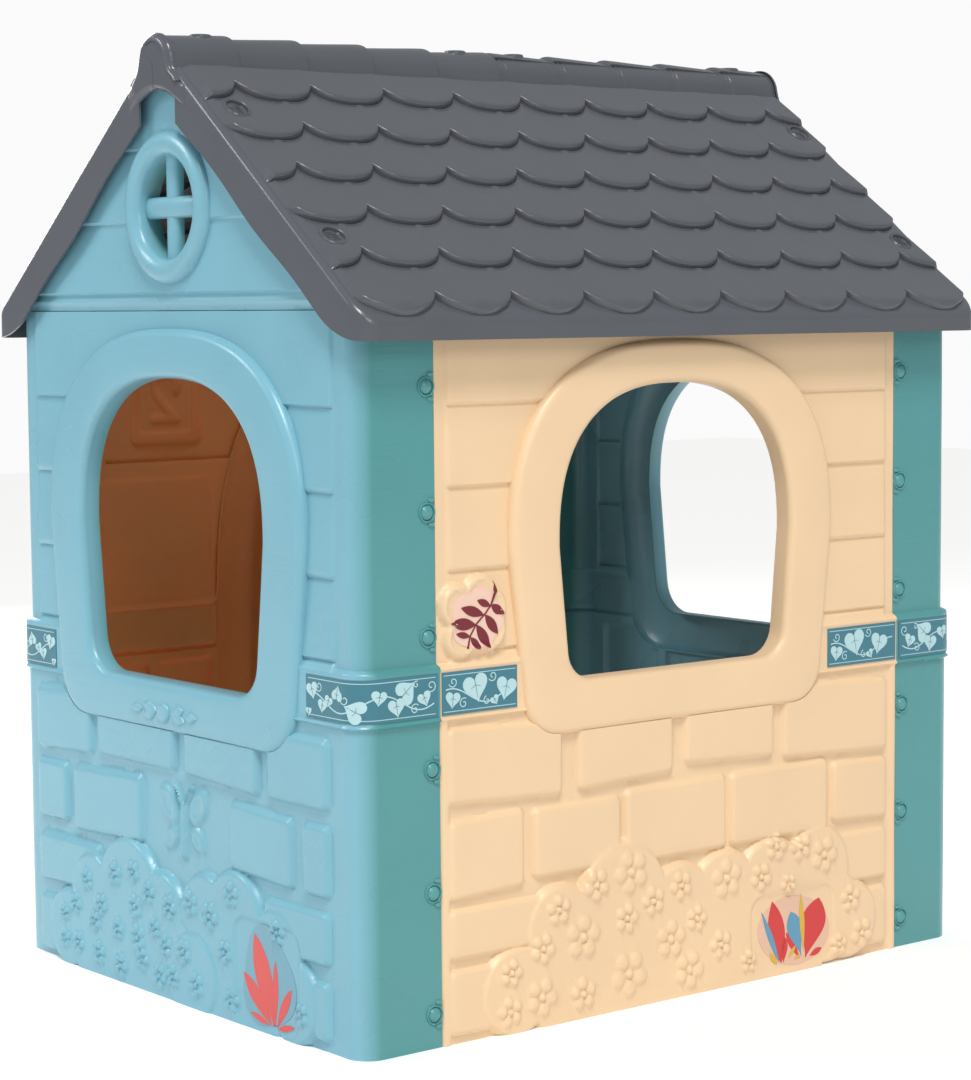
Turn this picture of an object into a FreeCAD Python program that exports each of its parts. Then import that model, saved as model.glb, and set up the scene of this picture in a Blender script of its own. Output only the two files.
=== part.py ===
import FreeCAD, Part
import math
import os

# A small plastic playhouse of clipped and screwed mouldings.  X runs along the ridge, Y across
# it, Z up, millimetres.  The origin is the centre of the footprint on the ground.  The window
# wall faces -Y, the front wall with the door faces +Y, and the two gable ends face -X and +X.
# Every wall is drawn facing -Y, with u to the right seen from outside, and is then turned.

# ---- driving dimensions -------------------------------------------------------------------
WALL_X = 457.5          # ground centre to the lower gable face
WALL_Y = 356.0          # ground centre to the lower face of the long walls
UPPER_STEP = 5.0        # the walls above the band stand this far inside the lower ones
SKIN = 3.0              # moulded wall thickness
CORNER_R = 28.0         # upright corners of the house
WRAP_END = 352.0        # gable mouldings wrap round the corners as far as this |x|
LAP = 22.0              # long walls tuck this far behind the wraps
SEAM_GAP = 0.3          # open seam between neighbouring mouldings

BAND_Z = (351.0, 413.0)     # decorated band, over its two lips
BAND_LIP = 7.0              # height of each lip
BAND_PROUD = 2.0            # band face in front of the lower wall
LIP_PROUD = 4.5             # lips in front of the lower wall

SEAM_Z = 790.0          # gable wall below, gable top above
LONG_WALL_TOP = 784.0   # top of the long walls, under the eaves

FRAME_PROUD = 14.0      # window and door surrounds in front of the upper wall
OPENING_DEPTH = 30.0    # depth of the return round an opening, from the surround's front
HEAD_POWER = 2.5        # the arched heads are superellipses of this power
GABLE_WINDOW = dict(centre=0.0, half=190.0, foot=172.0, low=367.0, spring=540.0, top=714.0,
                    corner=45.0)
GABLE_SURROUND = dict(centre=0.0, half=265.0, foot=240.0, low=310.0, spring=540.0, top=770.0,
                      corner=55.0)
LONG_WINDOW = dict(centre=-10.0, half=176.0, foot=162.0, low=381.0, spring=530.0, top=705.0,
                   corner=35.0)
LONG_SURROUND = dict(centre=-10.0, half=246.0, foot=222.0, low=322.0, spring=530.0, top=754.0,
                     corner=45.0)
THRESHOLD = 35.0
DOORWAY = dict(centre=-85.0, half=192.0, foot=192.0, low=THRESHOLD, spring=405.0, top=704.0,
               corner=5.0)
DOOR_SURROUND = dict(centre=-85.0, half=258.0, foot=258.0, low=0.0, spring=405.0, top=762.0,
                     corner=1.0)

PLANK_LINES = (421.0, 510.0, 600.0, 689.0)      # lap lines of the boarding
PLANK_GROOVE = (1.4, 3.0)                       # depth and height of a lap line
BRICK_PROUD = 3.0
BUSH_PROUD = 6.0

OCULUS_Z = 906.0
OCULUS_R = (58.0, 86.0)     # inside and outside radius of the round window's ring
OCULUS_PROUD = 13.0
MULLION = 24.0

ROOF_X = 468.0          # ground centre to the verges
ROOF_Y = 385.0          # ground centre to the eaves
EAVE_Z = 757.0          # underside of the eaves
APEX_Z = 1090.0         # where the two slopes would meet
RISE = 0.80             # height gained per millimetre towards the ridge
VERGE_DROP = 60.0       # height of the verge skirts
ROOF_CORNER_R = 24.0
RIDGE_X = 474.0
RIDGE_TOP = 1100.0
RIDGE_FOOT_Y = 50.0     # half width of the ridge capping where it leaves the slopes
RIDGE_OVAL = (34.0, 32.0)   # half width and height of its rounded crown
CAP_EDGE = 20.0         # the free edge of each capping lies this far past the ridge line
SOFFIT_R = 45.0         # round soffit below the ridge at each gable
SOFFIT_TOP = 1036.0

TILE_PITCH = 102.3
TILE_COLUMNS = 9
TILE_COURSE = 75.2
TILE_COURSES = 6
TILE_DIP = 26.0         # depth of a tile's rounded lower edge
TILE_LIFT = 9.0         # a tile's lower edge above the slope
TILES_START = 8.0      # first tips, measured up the slope from the eaves
TILES_END_Y = 52.0      # the tiles stop this far from the ridge line

SCREW_X = 433.0
SCREW_Y = (105.0, 284.0)
SCREW_HEAD = (10.0, 3.2)        # radius and thickness
SCREW_SHANK = (3.0, 24.0)       # radius and length
SCREW_POCKET = 13.0
RIDGE_SCREW_X = (45.0, 410.0)
RIDGE_BOSS = 14.0       # bosses that carry the ridge screws
SCREW_CLEARANCE = 0.15

PLUG_X = 362.5
PLUG_Z = (37.0, 169.0, 302.0, 443.0, 576.0, 709.0)
PLUG_HEAD = 8.5
PLUG_DOME = 5.0
PLUG_SHANK = (4.0, 12.0)

DECAL = 0.4             # thickness of a printed label

DOOR_TOP = 398.0
DOOR_GAP = 3.0
DOOR_THICK = 21.0
DOOR_INSET = 1.5        # door face behind the surround's front
PIN_R = 4.0
PIN_CLEARANCE = 0.05
PIN_LENGTH = 46.0
HINGE_Z = (110.0, 320.0)
HINGE_LUG = 12.0
LATCH_Z = (385.0, 410.0)

# ---- faces worked out from them -----------------------------------------------------------
COS = 1.0 / math.sqrt(1.0 + RISE * RISE)
SLOPE_DEG = math.degrees(math.atan(RISE))
UPPER_X = WALL_X - UPPER_STEP
UPPER_Y = WALL_Y - UPPER_STEP
UP = FreeCAD.Vector(0, 0, 1)
ORIGIN = FreeCAD.Vector(0, 0, 0)
NEAR_GABLE, FAR_GABLE, FRONT = -90, 90, 180     # turns from facing -Y


# ---- small helpers ------------------------------------------------------------------------
def box(x0, x1, y0, y1, z0, z1):
    return Part.makeBox(x1 - x0, y1 - y0, z1 - z0, FreeCAD.Vector(x0, y0, z0))


def turned(shape, degrees):
    copy = shape.copy()
    copy.rotate(ORIGIN, UP, degrees)
    return copy


def fused(shapes):
    """One solid from several that touch or overlap."""
    whole = shapes[0].multiFuse(shapes[1:])
    return whole.removeSplitter()


def rod(radius, start, direction, length):
    return Part.makeCylinder(radius, length, start, direction)


def rounded_block(half_x, half_y, radius, z0, z1):
    block = box(-half_x, half_x, -half_y, half_y, z0, z1)
    upright = [e for e in block.Edges if abs(e.tangentAt(e.FirstParameter).z) > 0.9]
    return block.makeFillet(radius, upright)


def ring_wall(outer, thick, inset, z0, z1):
    """Four-sided wall following the house plan; inset moves its outer face inwards."""
    half_u, half_y = outer
    outside = rounded_block(half_u - inset, half_y - inset, CORNER_R - inset, z0, z1)
    inner = inset + thick
    inside = rounded_block(half_u - inner, half_y - inner, CORNER_R - inner, z0 - 1, z1 + 1)
    return outside.cut(inside)


def arch_head(shape, grow):
    """Points of a superelliptic head, from its right springing to its left one."""
    steps = 16
    power = 2.0 / HEAD_POWER
    points = []
    for k in range(steps + 1):
        angle = math.pi * k / steps
        across = math.copysign(abs(math.cos(angle)) ** power, math.cos(angle))
        rise = abs(math.sin(angle)) ** power
        points.append(((shape["half"] + grow) * across,
                       shape["spring"] + (shape["top"] + grow - shape["spring"]) * rise))
    return points


def arch(shape, y0, y1, grow=0.0):
    """Upright prism with a flat foot, leaning sides and a superelliptic head."""
    half = shape["half"] + grow
    foot = shape["foot"] + grow
    low = shape["low"] - grow
    spring = shape["spring"]
    r = max(shape["corner"] + grow, 0.5)

    def at(u, z):
        return FreeCAD.Vector(shape["centre"] + u, y0, z)

    lean = math.atan2(half - foot, spring - low)
    turn = math.pi / 2 - lean
    bow = r * math.tan(turn / 2)
    flat = foot - bow
    mid = (flat + r * math.sin(turn / 2), low + r * (1 - math.cos(turn / 2)))
    end = (foot + math.sin(lean) * bow, low + math.cos(lean) * bow)
    head = Part.BSplineCurve()
    head.interpolate([at(u, z) for u, z in arch_head(shape, grow)])
    edges = [
        Part.makeLine(at(-flat, low), at(flat, low)),
        Part.Arc(at(flat, low), at(*mid), at(*end)).toShape(),
        Part.makeLine(at(*end), at(half, spring)),
        head.toShape(),
        Part.makeLine(at(-half, spring), at(-end[0], end[1])),
        Part.Arc(at(-end[0], end[1]), at(-mid[0], mid[1]), at(-flat, low)).toShape(),
    ]
    return Part.Face(Part.Wire(edges)).extrude(FreeCAD.Vector(0, y1 - y0, 0))


def hollow_surround(wall, upper_face, outer, opening):
    """Raise a hollow surround on a wall and cut its opening with a return inwards."""
    front = -(upper_face + FRAME_PROUD)
    back = -(upper_face - SKIN)
    inner_end = front + OPENING_DEPTH
    solid = arch(outer, front, back)
    lining = arch(opening, front, inner_end, SKIN)
    groove = arch(outer, front + SKIN, inner_end + 1, -SKIN)
    groove = groove.cut(lining)
    clear = arch(opening, front - 1, inner_end + 20)
    whole = fused([wall, solid, lining])
    return whole.cut(groove).cut(clear)


def planks(wall, face, spans, lines):
    """Cut the lap lines of the boarding into an upper wall."""
    depth, height = PLANK_GROOVE
    cutters = []
    for z in lines:
        for u0, u1 in spans:
            cutters.append(box(u0, u1, -face - 1, -face + depth, z, z + height))
    return wall.cut(cutters)


def bricks(face, rows):
    """Raised bricks on a lower wall; a row is its height range and its bricks' ends."""
    back = -face + 0.5
    front = -face - BRICK_PROUD
    pads = []
    for (z0, z1), ends in rows:
        for u0, u1 in ends:
            pads.append(box(u0, u1, front, back, z0, z1))
    return pads


def bush(face, lobes):
    """Raised bush outline made of round lobes, cut off level with the ground."""
    lumps = []
    for u, z, r in lobes:
        start = FreeCAD.Vector(u, -face - BUSH_PROUD, z)
        lumps.append(rod(r, start, FreeCAD.Vector(0, 1, 0), BUSH_PROUD + 0.5))
    half = max(abs(u) + r for u, z, r in lobes) + 1
    ground = box(-half, half, -face - BUSH_PROUD - 1, -face + 1, -200, 4)
    return fused(lumps).cut(ground)


# ---- walls --------------------------------------------------------------------------------
GABLE_BRICKS = (
    ((262, 334), ((-312, -266), (262, 305))),
    ((170, 248), ((-312, -240), (-226, -60), (88, 238), (255, 305))),
    ((95, 155), ((-312, -236), (236, 303))),
    ((10, 78), ((-312, -290), (288, 303))),
)
GABLE_BUSH = ((-245, 48, 50), (-185, 100, 46), (-100, 118, 56), (-15, 82, 60), (-130, 40, 75),
              (60, 95, 62), (125, 112, 52), (200, 92, 50), (235, 45, 47), (120, 45, 60))
WINDOW_BRICKS = (
    ((262, 336), ((-345, -262), (262, 333))),
    ((165, 246), ((-345, -240), (-227, -98), (-86, 65), (77, 232), (244, 333))),
    ((92, 150), ((-345, -310), (262, 330))),
    ((8, 80), ((-345, -315),)),
)
WINDOW_BUSH = ((-262, 48, 42), (-188, 106, 52), (-100, 134, 60), (-20, 96, 56), (-150, 50, 80),
               (60, 102, 60), (140, 112, 55), (215, 118, 52), (265, 72, 46), (60, 50, 70),
               (190, 50, 66))
FRONT_BRICKS = (
    ((262, 336), ((195, 262), (276, 345))),
    ((165, 248), ((188, 232), (246, 345))),
    ((86, 150), ((188, 290), (304, 345))),
    ((10, 72), ((188, 236), (250, 345))),
)


def band(plan, inset_back):
    """Hollow band with a lip along its top and bottom edge."""
    z0, z1 = BAND_Z
    face = ring_wall(plan, BAND_PROUD + inset_back, -BAND_PROUD, z0, z1)
    low_lip = ring_wall(plan, LIP_PROUD + 1, -LIP_PROUD, z0, z0 + BAND_LIP)
    high_lip = ring_wall(plan, LIP_PROUD + 1, -LIP_PROUD, z1 - BAND_LIP, z1)
    hollow = ring_wall(plan, inset_back + 4, SKIN - BAND_PROUD, z0 + SKIN, z1 - SKIN)
    return [face, low_lip, high_lip], hollow


def house_shell():
    """The four walls' common shell, before it is parted into mouldings.  Faces -Y gable."""
    plan = (WALL_Y, WALL_X)
    back = UPPER_STEP + SKIN
    lower = ring_wall(plan, SKIN, 0, 0, BAND_Z[0] + 1)
    upper = ring_wall(plan, SKIN, UPPER_STEP, BAND_Z[1] - 1, SEAM_Z)
    solids, hollow = band(plan, back)
    return fused([lower, upper] + solids).cut(hollow)


def plug_holes(wall, radius):
    """Holes for the corner plugs, in house coordinates."""
    cutters = []
    for side_x in (-1, 1):
        for side_y in (-1, 1):
            for z in PLUG_Z:
                start = FreeCAD.Vector(side_x * PLUG_X, side_y * (WALL_Y + 10), z)
                cutters.append(rod(radius, start, FreeCAD.Vector(0, -side_y, 0), 40))
    return wall.cut(cutters)


def gable_wall(shell):
    """Lower gable moulding: window, band, boards, bricks and both corner wraps."""
    keep = box(-400, 400, -500, -WRAP_END, -1, SEAM_Z + 1)
    wall = shell.common(keep)
    relief = bricks(WALL_X, GABLE_BRICKS) + [bush(WALL_X, GABLE_BUSH)]
    wall = fused([wall] + relief)
    wall = planks(wall, UPPER_X, ((-314, -250), (250, 314)), PLANK_LINES)
    return hollow_surround(wall, UPPER_X, GABLE_SURROUND, GABLE_WINDOW)


def long_wall(relief):
    """Plain long moulding with its laps behind the corner wraps, facing -Y."""
    end = WRAP_END - SEAM_GAP
    z0, z1 = BAND_Z
    inner = -UPPER_Y + SKIN
    parts = [
        box(-end, end, -WALL_Y, -WALL_Y + SKIN, 0, z0 + 1),
        box(-end, end, -UPPER_Y, inner, z1 - 1, LONG_WALL_TOP),
        box(-end, end, -WALL_Y - BAND_PROUD, inner, z0, z1),
        box(-end, end, -WALL_Y - LIP_PROUD, -WALL_Y + 1, z0, z0 + BAND_LIP),
        box(-end, end, -WALL_Y - LIP_PROUD, -WALL_Y + 1, z1 - BAND_LIP, z1),
    ]
    for side in (-1, 1):
        ends = sorted((side * (WRAP_END - 15), side * (WRAP_END + LAP)))
        parts.append(box(*ends, -WALL_Y + SKIN, -WALL_Y + 2 * SKIN, 0, z0))
        parts.append(box(*ends, inner, inner + SKIN, z0, LONG_WALL_TOP))
        bridge = sorted((side * (WRAP_END - 15), side * end))
        parts.append(box(*bridge, -WALL_Y + SKIN, inner + SKIN, z0 - SKIN, z0))
    hollow = box(-end + SKIN, end - SKIN, -WALL_Y - BAND_PROUD + SKIN, inner + 1,
                 z0 + SKIN, z1 - SKIN)
    lap_line = WRAP_END - 15
    hollow = hollow.common(box(-lap_line, lap_line, -500, 0, 0, 500))
    return fused(parts + relief).cut(hollow)


def window_wall():
    relief = bricks(WALL_Y, WINDOW_BRICKS) + [bush(WALL_Y, WINDOW_BUSH)]
    relief += plaque_pad()
    wall = long_wall(relief)
    wall = planks(wall, UPPER_Y, ((-352, -250), (250, 352)), PLANK_LINES[1:])
    return hollow_surround(wall, UPPER_Y, LONG_SURROUND, LONG_WINDOW)


PLAQUE = (-303.0, 458.0, 44.0, 40.0)    # centre u, centre z, half width, half height


def plaque_pad():
    u, z, half_u, half_z = PLAQUE
    return [box(u - half_u, u + half_u, -UPPER_Y - 8, -UPPER_Y + 0.5, z - half_z, z + half_z)]


NUMBER_FRAME = (243.5, 679.0, 56.0, 64.0)
NUMBER_RECESS = (41.0, 46.0)
PANEL = (260.0, 497.0, 83.0, 81.0)


def front_wall():
    """Front moulding: doorway, house number frame, leaf panel, band, boards and bricks."""
    u, z, half_u, half_z = NUMBER_FRAME
    frame = box(u - half_u, u + half_u, -UPPER_Y - 7, -UPPER_Y + 0.5, z - half_z, z + half_z)
    recess_u, recess_z = NUMBER_RECESS
    recess = box(u - recess_u, u + recess_u, -UPPER_Y - 8, -UPPER_Y - 3,
                 z - recess_z, z + recess_z)
    u, z, half_u, half_z = PANEL
    panel = box(u - half_u, u + half_u, -UPPER_Y - 4, -UPPER_Y + 0.5, z - half_z, z + half_z)
    wall = long_wall(bricks(WALL_Y, FRONT_BRICKS) + [frame.cut(recess), panel])
    wall = planks(wall, UPPER_Y, ((150, 352),), (600.0,))
    wall = hollow_surround(wall, UPPER_Y, DOOR_SURROUND, DOORWAY)
    wall = fused([wall, doorway_sill()] + hinge_lugs())
    return wall.cut([latch_slot()] + hinge_holes(PIN_R))


def doorway_sill():
    half = DOORWAY["half"] + SKIN
    front = -(UPPER_Y + FRAME_PROUD)
    return box(DOORWAY["centre"] - half, DOORWAY["centre"] + half, front, front + SKIN, 0, THRESHOLD)


# ---- door and its hinges ------------------------------------------------------------------
HINGE_U = DOORWAY["centre"] - DOORWAY["half"] + 9.0
DOOR_FRONT = -(UPPER_Y + FRAME_PROUD) + DOOR_INSET
HINGE_Y = DOOR_FRONT + 6.0


def hinge_lugs():
    lugs = []
    jamb = DOORWAY["centre"] - DOORWAY["half"]
    for z in HINGE_Z:
        z0 = z - HINGE_LUG / 2
        arm = box(jamb - 1, HINGE_U, HINGE_Y - 5.5, HINGE_Y + 7.5, z0, z0 + HINGE_LUG)
        eye = rod(7.5, FreeCAD.Vector(HINGE_U, HINGE_Y, z0), UP, HINGE_LUG)
        front = box(jamb - 20, 0, HINGE_Y - 20, HINGE_Y - 5.5, z0 - 1, z0 + HINGE_LUG + 1)
        lugs.append(arm.fuse(eye).cut(front))
    return lugs


def hinge_holes(radius):
    holes = []
    for z in HINGE_Z:
        start = FreeCAD.Vector(HINGE_U, HINGE_Y, z - PIN_LENGTH / 2)
        holes.append(rod(radius, start, UP, PIN_LENGTH))
    return holes


def latch_slot():
    """Slot in the jamb that the door's snap nub drops into."""
    jamb = DOORWAY["centre"] + DOORWAY["half"]
    front = -(UPPER_Y + FRAME_PROUD)
    return box(jamb - 1, jamb + SKIN + 1, front - 1, front + 22, *LATCH_Z)


def door_leaf():
    """Hollow half door with a solid hinge stile, a moulded pull and a snap nub."""
    left = DOORWAY["centre"] - DOORWAY["half"] + DOOR_GAP
    right = DOORWAY["centre"] + DOORWAY["half"] - DOOR_GAP
    low = THRESHOLD + DOOR_GAP
    leaf = box(left, right, DOOR_FRONT, DOOR_FRONT + DOOR_THICK, low, DOOR_TOP)
    upright = [e for e in leaf.Edges if abs(e.tangentAt(e.FirstParameter).z) > 0.9]
    leaf = leaf.makeFillet(3.0, upright)
    stile = HINGE_U + 18.0
    hollow = box(stile, right - SKIN, DOOR_FRONT + SKIN, DOOR_FRONT + DOOR_THICK + 1,
                 low + SKIN, DOOR_TOP - SKIN)
    pull = box(right - 62, right - 28, DOOR_FRONT - 7, DOOR_FRONT + 1, 300, 350)
    nub = box(right - 1, right + 4.5, DOOR_FRONT + 4, DOOR_FRONT + 14, 387.5, 396)
    leaf = fused([leaf.cut(hollow), pull, nub])
    cutters = hinge_holes(PIN_R + PIN_CLEARANCE)
    for z in HINGE_Z:
        room = HINGE_LUG / 2 + 1.0
        cutters.append(box(left - 5, HINGE_U + 10.5, DOOR_FRONT - 1, DOOR_FRONT + DOOR_THICK + 1,
                           z - room, z + room))
    return leaf.cut(cutters)


def hinge_pin(z):
    start = FreeCAD.Vector(HINGE_U, HINGE_Y, z - PIN_LENGTH / 2)
    return rod(PIN_R, start, UP, PIN_LENGTH)


# ---- gable tops ---------------------------------------------------------------------------
def under_roof(z_shift, half_y):
    """Heights of the roof's underside at the ridge flat and at half_y, moved by z_shift."""
    return APEX_Z - SKIN / COS - RISE * half_y + z_shift


def prism_u(points, y0, y1):
    """Prism with a polygon in (u, z), running from y0 to y1."""
    loop = [FreeCAD.Vector(u, y0, z) for u, z in points]
    face = Part.Face(Part.makePolygon(loop + loop[:1]))
    return face.extrude(FreeCAD.Vector(0, y1 - y0, 0))


def gable_outline(z0, shift):
    """Gable silhouette below the roof's underside, flattened below the ridge."""
    flat = 34.0
    return [(-UPPER_Y, z0), (UPPER_Y, z0), (UPPER_Y, under_roof(shift, UPPER_Y)),
            (flat, under_roof(shift, flat)), (-flat, under_roof(shift, flat)),
            (-UPPER_Y, under_roof(shift, UPPER_Y))]


GABLE_FLANGE = 52.0     # depth of the rim that carries the roof screws


def gable_top():
    """Upper gable moulding: round window, rim under the roof, tongue into the gable wall."""
    face = -UPPER_X
    body = prism_u(gable_outline(SEAM_Z, 0), face, face + GABLE_FLANGE)
    rim = 6.0
    inside = [(-UPPER_Y + SKIN, SEAM_Z - 1), (UPPER_Y - SKIN, SEAM_Z - 1),
              (UPPER_Y - SKIN, under_roof(-rim, UPPER_Y - SKIN)),
              (34, under_roof(-rim, 34)), (-34, under_roof(-rim, 34)),
              (-UPPER_Y + SKIN, under_roof(-rim, UPPER_Y - SKIN))]
    body = body.cut(prism_u(inside, face + SKIN, face + GABLE_FLANGE + 1))
    tongue_y = face + SKIN + SEAM_GAP
    tongue = box(-UPPER_Y + 30, UPPER_Y - 30, tongue_y, tongue_y + SKIN, SEAM_Z - 16, SEAM_Z + 8)
    link = box(-UPPER_Y + 30, UPPER_Y - 30, face + 1, tongue_y + SKIN, SEAM_Z + 1, SEAM_Z + 8)
    centre = FreeCAD.Vector(0, face - OCULUS_PROUD, OCULUS_Z)
    inward = FreeCAD.Vector(0, 1, 0)
    ring = rod(OCULUS_R[1], centre, inward, OCULUS_PROUD + SKIN)
    groove_start = FreeCAD.Vector(0, face - OCULUS_PROUD + SKIN, OCULUS_Z)
    groove = rod(OCULUS_R[1] - SKIN, groove_start, inward, 60)
    groove = groove.cut(rod(OCULUS_R[0] + SKIN, groove_start, inward, 60))
    pane = rod(OCULUS_R[0], FreeCAD.Vector(0, face - 60, OCULUS_Z), inward, 120)
    lining = rod(OCULUS_R[0] + SKIN, centre, inward, OCULUS_PROUD + 12)
    body = fused([body, tongue, link, ring, lining]).cut([groove, pane])
    reach = OCULUS_R[0] + 1
    half = MULLION / 2
    front = face - OCULUS_PROUD + 5
    upright = box(-half, half, front, front + 9, OCULUS_Z - reach, OCULUS_Z + reach)
    level = box(-reach, reach, front + 3, front + 12, OCULUS_Z - half, OCULUS_Z + half)
    body = planks(body, UPPER_X, ((-330, -88), (88, 330)), (890.0,))
    return fused([body, upright, level]).cut(screw_shanks_in_gable())


def screw_shanks_in_gable():
    """Pilot holes in the rim, in the coordinates of a gable facing -Y."""
    holes = []
    for side in (-1, 1):
        for y in SCREW_Y:
            start, direction = screw_axis(y)
            local = FreeCAD.Vector(side * -start.y, -SCREW_X, start.z)
            along = FreeCAD.Vector(side * -direction.y, 0, direction.z)
            holes.append(rod(SCREW_SHANK[0] + SCREW_CLEARANCE, local, along, 60))
    return holes


# ---- roof ---------------------------------------------------------------------------------
def slope_z(y):
    return APEX_Z - RISE * abs(y)


def prism_x(points, x0, x1):
    """Prism with a polygon in (y, z), running from x0 to x1."""
    loop = [FreeCAD.Vector(x0, y, z) for y, z in points]
    face = Part.Face(Part.makePolygon(loop + loop[:1]))
    return face.extrude(FreeCAD.Vector(x1 - x0, 0, 0))


def ridge_hump(inset, x0, x1):
    """Solid under the ridge capping's outline, moved inwards by inset."""
    half = RIDGE_OVAL[0] - inset
    crown_z = RIDGE_TOP - RIDGE_OVAL[1]
    foot_y = RIDGE_FOOT_Y - inset
    floor = slope_z(RIDGE_FOOT_Y) - 40

    def at(y, z):
        return FreeCAD.Vector(x0, y, z)

    oval = Part.Ellipse(at(half, crown_z), at(0, RIDGE_TOP - inset), at(0, crown_z))
    edges = [
        Part.makeLine(at(-foot_y, floor), at(-foot_y, slope_z(RIDGE_FOOT_Y))),
        Part.makeLine(at(-foot_y, slope_z(RIDGE_FOOT_Y)), at(-half, crown_z)),
        Part.ArcOfEllipse(oval, 0, math.pi).toShape(),
        Part.makeLine(at(half, crown_z), at(foot_y, slope_z(RIDGE_FOOT_Y))),
        Part.makeLine(at(foot_y, slope_z(RIDGE_FOOT_Y)), at(foot_y, floor)),
        Part.makeLine(at(foot_y, floor), at(-foot_y, floor)),
    ]
    wire = Part.Wire(Part.__sortEdges__(edges))
    return Part.Face(wire).extrude(FreeCAD.Vector(x1 - x0, 0, 0))


def hump_layer(inset, thick, x0, x1, y0, y1):
    """A shell of the ridge capping between two y planes."""
    shell = ridge_hump(inset, x0, x1).cut(ridge_hump(inset + thick, x0 - 1, x1 + 1))
    floor = slope_z(RIDGE_FOOT_Y) - 1
    return shell.common(box(x0 - 2, x1 + 2, y0, y1, floor, RIDGE_TOP + 1))


def on_slope(shape):
    """Lay a shape drawn in slope coordinates (y up the slope, z off it) on the -Y slope."""
    shape.rotate(ORIGIN, FreeCAD.Vector(1, 0, 0), SLOPE_DEG)
    shape.translate(FreeCAD.Vector(0, -ROOF_Y, slope_z(ROOF_Y)))
    return shape


def tile_course(index):
    """One course of round-ended tiles, tilted so that its lower edge stands proud."""
    low = TILES_START + TILE_COURSE * index
    length = TILE_COURSE + TILE_DIP
    half = TILE_PITCH * TILE_COLUMNS / 2
    shift = TILE_PITCH / 2 * (index % 2)
    count = TILE_COLUMNS + index % 2
    start = -half - shift

    def at(x, y):
        return FreeCAD.Vector(x, low + y, 0)

    edges = []
    for k in range(count):
        left = start + k * TILE_PITCH
        edges.append(Part.Arc(at(left, TILE_DIP), at(left + TILE_PITCH / 2, 0),
                              at(left + TILE_PITCH, TILE_DIP)).toShape())
    end = start + count * TILE_PITCH
    edges.append(Part.makeLine(at(end, TILE_DIP), at(end, length)))
    edges.append(Part.makeLine(at(end, length), at(start, length)))
    edges.append(Part.makeLine(at(start, length), at(start, TILE_DIP)))
    course = Part.Face(Part.Wire(edges)).extrude(FreeCAD.Vector(0, 0, TILE_LIFT))
    tilt = math.degrees(math.atan(TILE_LIFT / length))
    course.rotate(FreeCAD.Vector(0, low, TILE_LIFT), FreeCAD.Vector(1, 0, 0), -tilt)
    field_end = (ROOF_Y - TILES_END_Y) / COS
    course = course.common(box(-half, half, low - 5, field_end, -1.5, TILE_LIFT + 1))
    return on_slope(course)


def roof_tray():
    """Sloping plate with an eave skirt and two verge skirts."""
    upper = RIDGE_FOOT_Y - SKIN
    drop_y = (APEX_Z - VERGE_DROP - EAVE_Z) / RISE
    outline = [(-ROOF_Y, EAVE_Z), (-ROOF_Y, slope_z(ROOF_Y)), (-upper, slope_z(upper)),
               (-upper, slope_z(upper) - VERGE_DROP), (-drop_y, EAVE_Z)]
    solid = prism_x(outline, -ROOF_X, ROOF_X)
    corners = []
    for edge in solid.Edges:
        middle = edge.BoundBox.Center
        if abs(middle.y + ROOF_Y) < 1e-6 and abs(abs(middle.x) - ROOF_X) < 1e-6:
            corners.append(edge)
    solid = solid.makeFillet(ROOF_CORNER_R, corners)
    under = SKIN / COS
    inner_y = ROOF_Y - SKIN
    hollow = prism_x([(-inner_y, EAVE_Z - 60), (-inner_y, slope_z(inner_y) - under),
                      (10, slope_z(0) - under + RISE * 10), (10, EAVE_Z - 60)],
                     -ROOF_X + SKIN, ROOF_X - SKIN)
    edges = []
    for edge in hollow.Edges:
        middle = edge.BoundBox.Center
        if abs(middle.y + inner_y) < 1e-6 and abs(abs(middle.x) - ROOF_X + SKIN) < 1e-6:
            edges.append(edge)
    hollow = hollow.makeFillet(ROOF_CORNER_R - SKIN, edges)
    return solid.cut(hollow)


def ridge_end(x0, x1):
    """Closing face of the ridge at a gable, with a round soffit below it."""
    soffit_z = SOFFIT_TOP - SOFFIT_R
    face = ridge_hump(0, x0, x1)
    soffit = rod(SOFFIT_R, FreeCAD.Vector(x0 - 1, 0, soffit_z), FreeCAD.Vector(1, 0, 0),
                 x1 - x0 + 2)
    below = box(x0 - 1, x1 + 1, -SOFFIT_R, SOFFIT_R, soffit_z - 60, soffit_z)
    keep = box(x0 - 1, x1 + 1, -RIDGE_FOOT_Y - 1, -SEAM_GAP / 2, soffit_z, RIDGE_TOP + 1)
    return face.cut([soffit, below]).common(keep)


def roof_half():
    """Roof half over the window wall: tiled slope, and the capping over x < 0."""
    gap = SEAM_GAP
    inner = SKIN + gap
    meet = -CAP_EDGE - gap
    lap = meet - 2 * SKIN
    end = RIDGE_X - SKIN
    parts = [roof_tray()]
    parts += [tile_course(k) for k in range(TILE_COURSES)]
    parts.append(hump_layer(0, SKIN, -RIDGE_X, -gap / 2, -RIDGE_FOOT_Y, CAP_EDGE))
    parts.append(hump_layer(0, SKIN, gap / 2, RIDGE_X, -RIDGE_FOOT_Y, meet))
    parts.append(hump_layer(0, inner + SKIN, gap / 2, end, lap, meet))
    parts.append(hump_layer(inner, SKIN, gap / 2, end, lap, RIDGE_BOSS))
    parts.append(ridge_end(-RIDGE_X, -end))
    far_end = ridge_end(end, RIDGE_X)
    parts.append(far_end.cut(hump_layer(-1, inner + 1, end - 1, RIDGE_X + 1, meet, 60)))
    half = fused(parts)
    return ridge_bosses(half).cut(screw_pockets())


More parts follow.
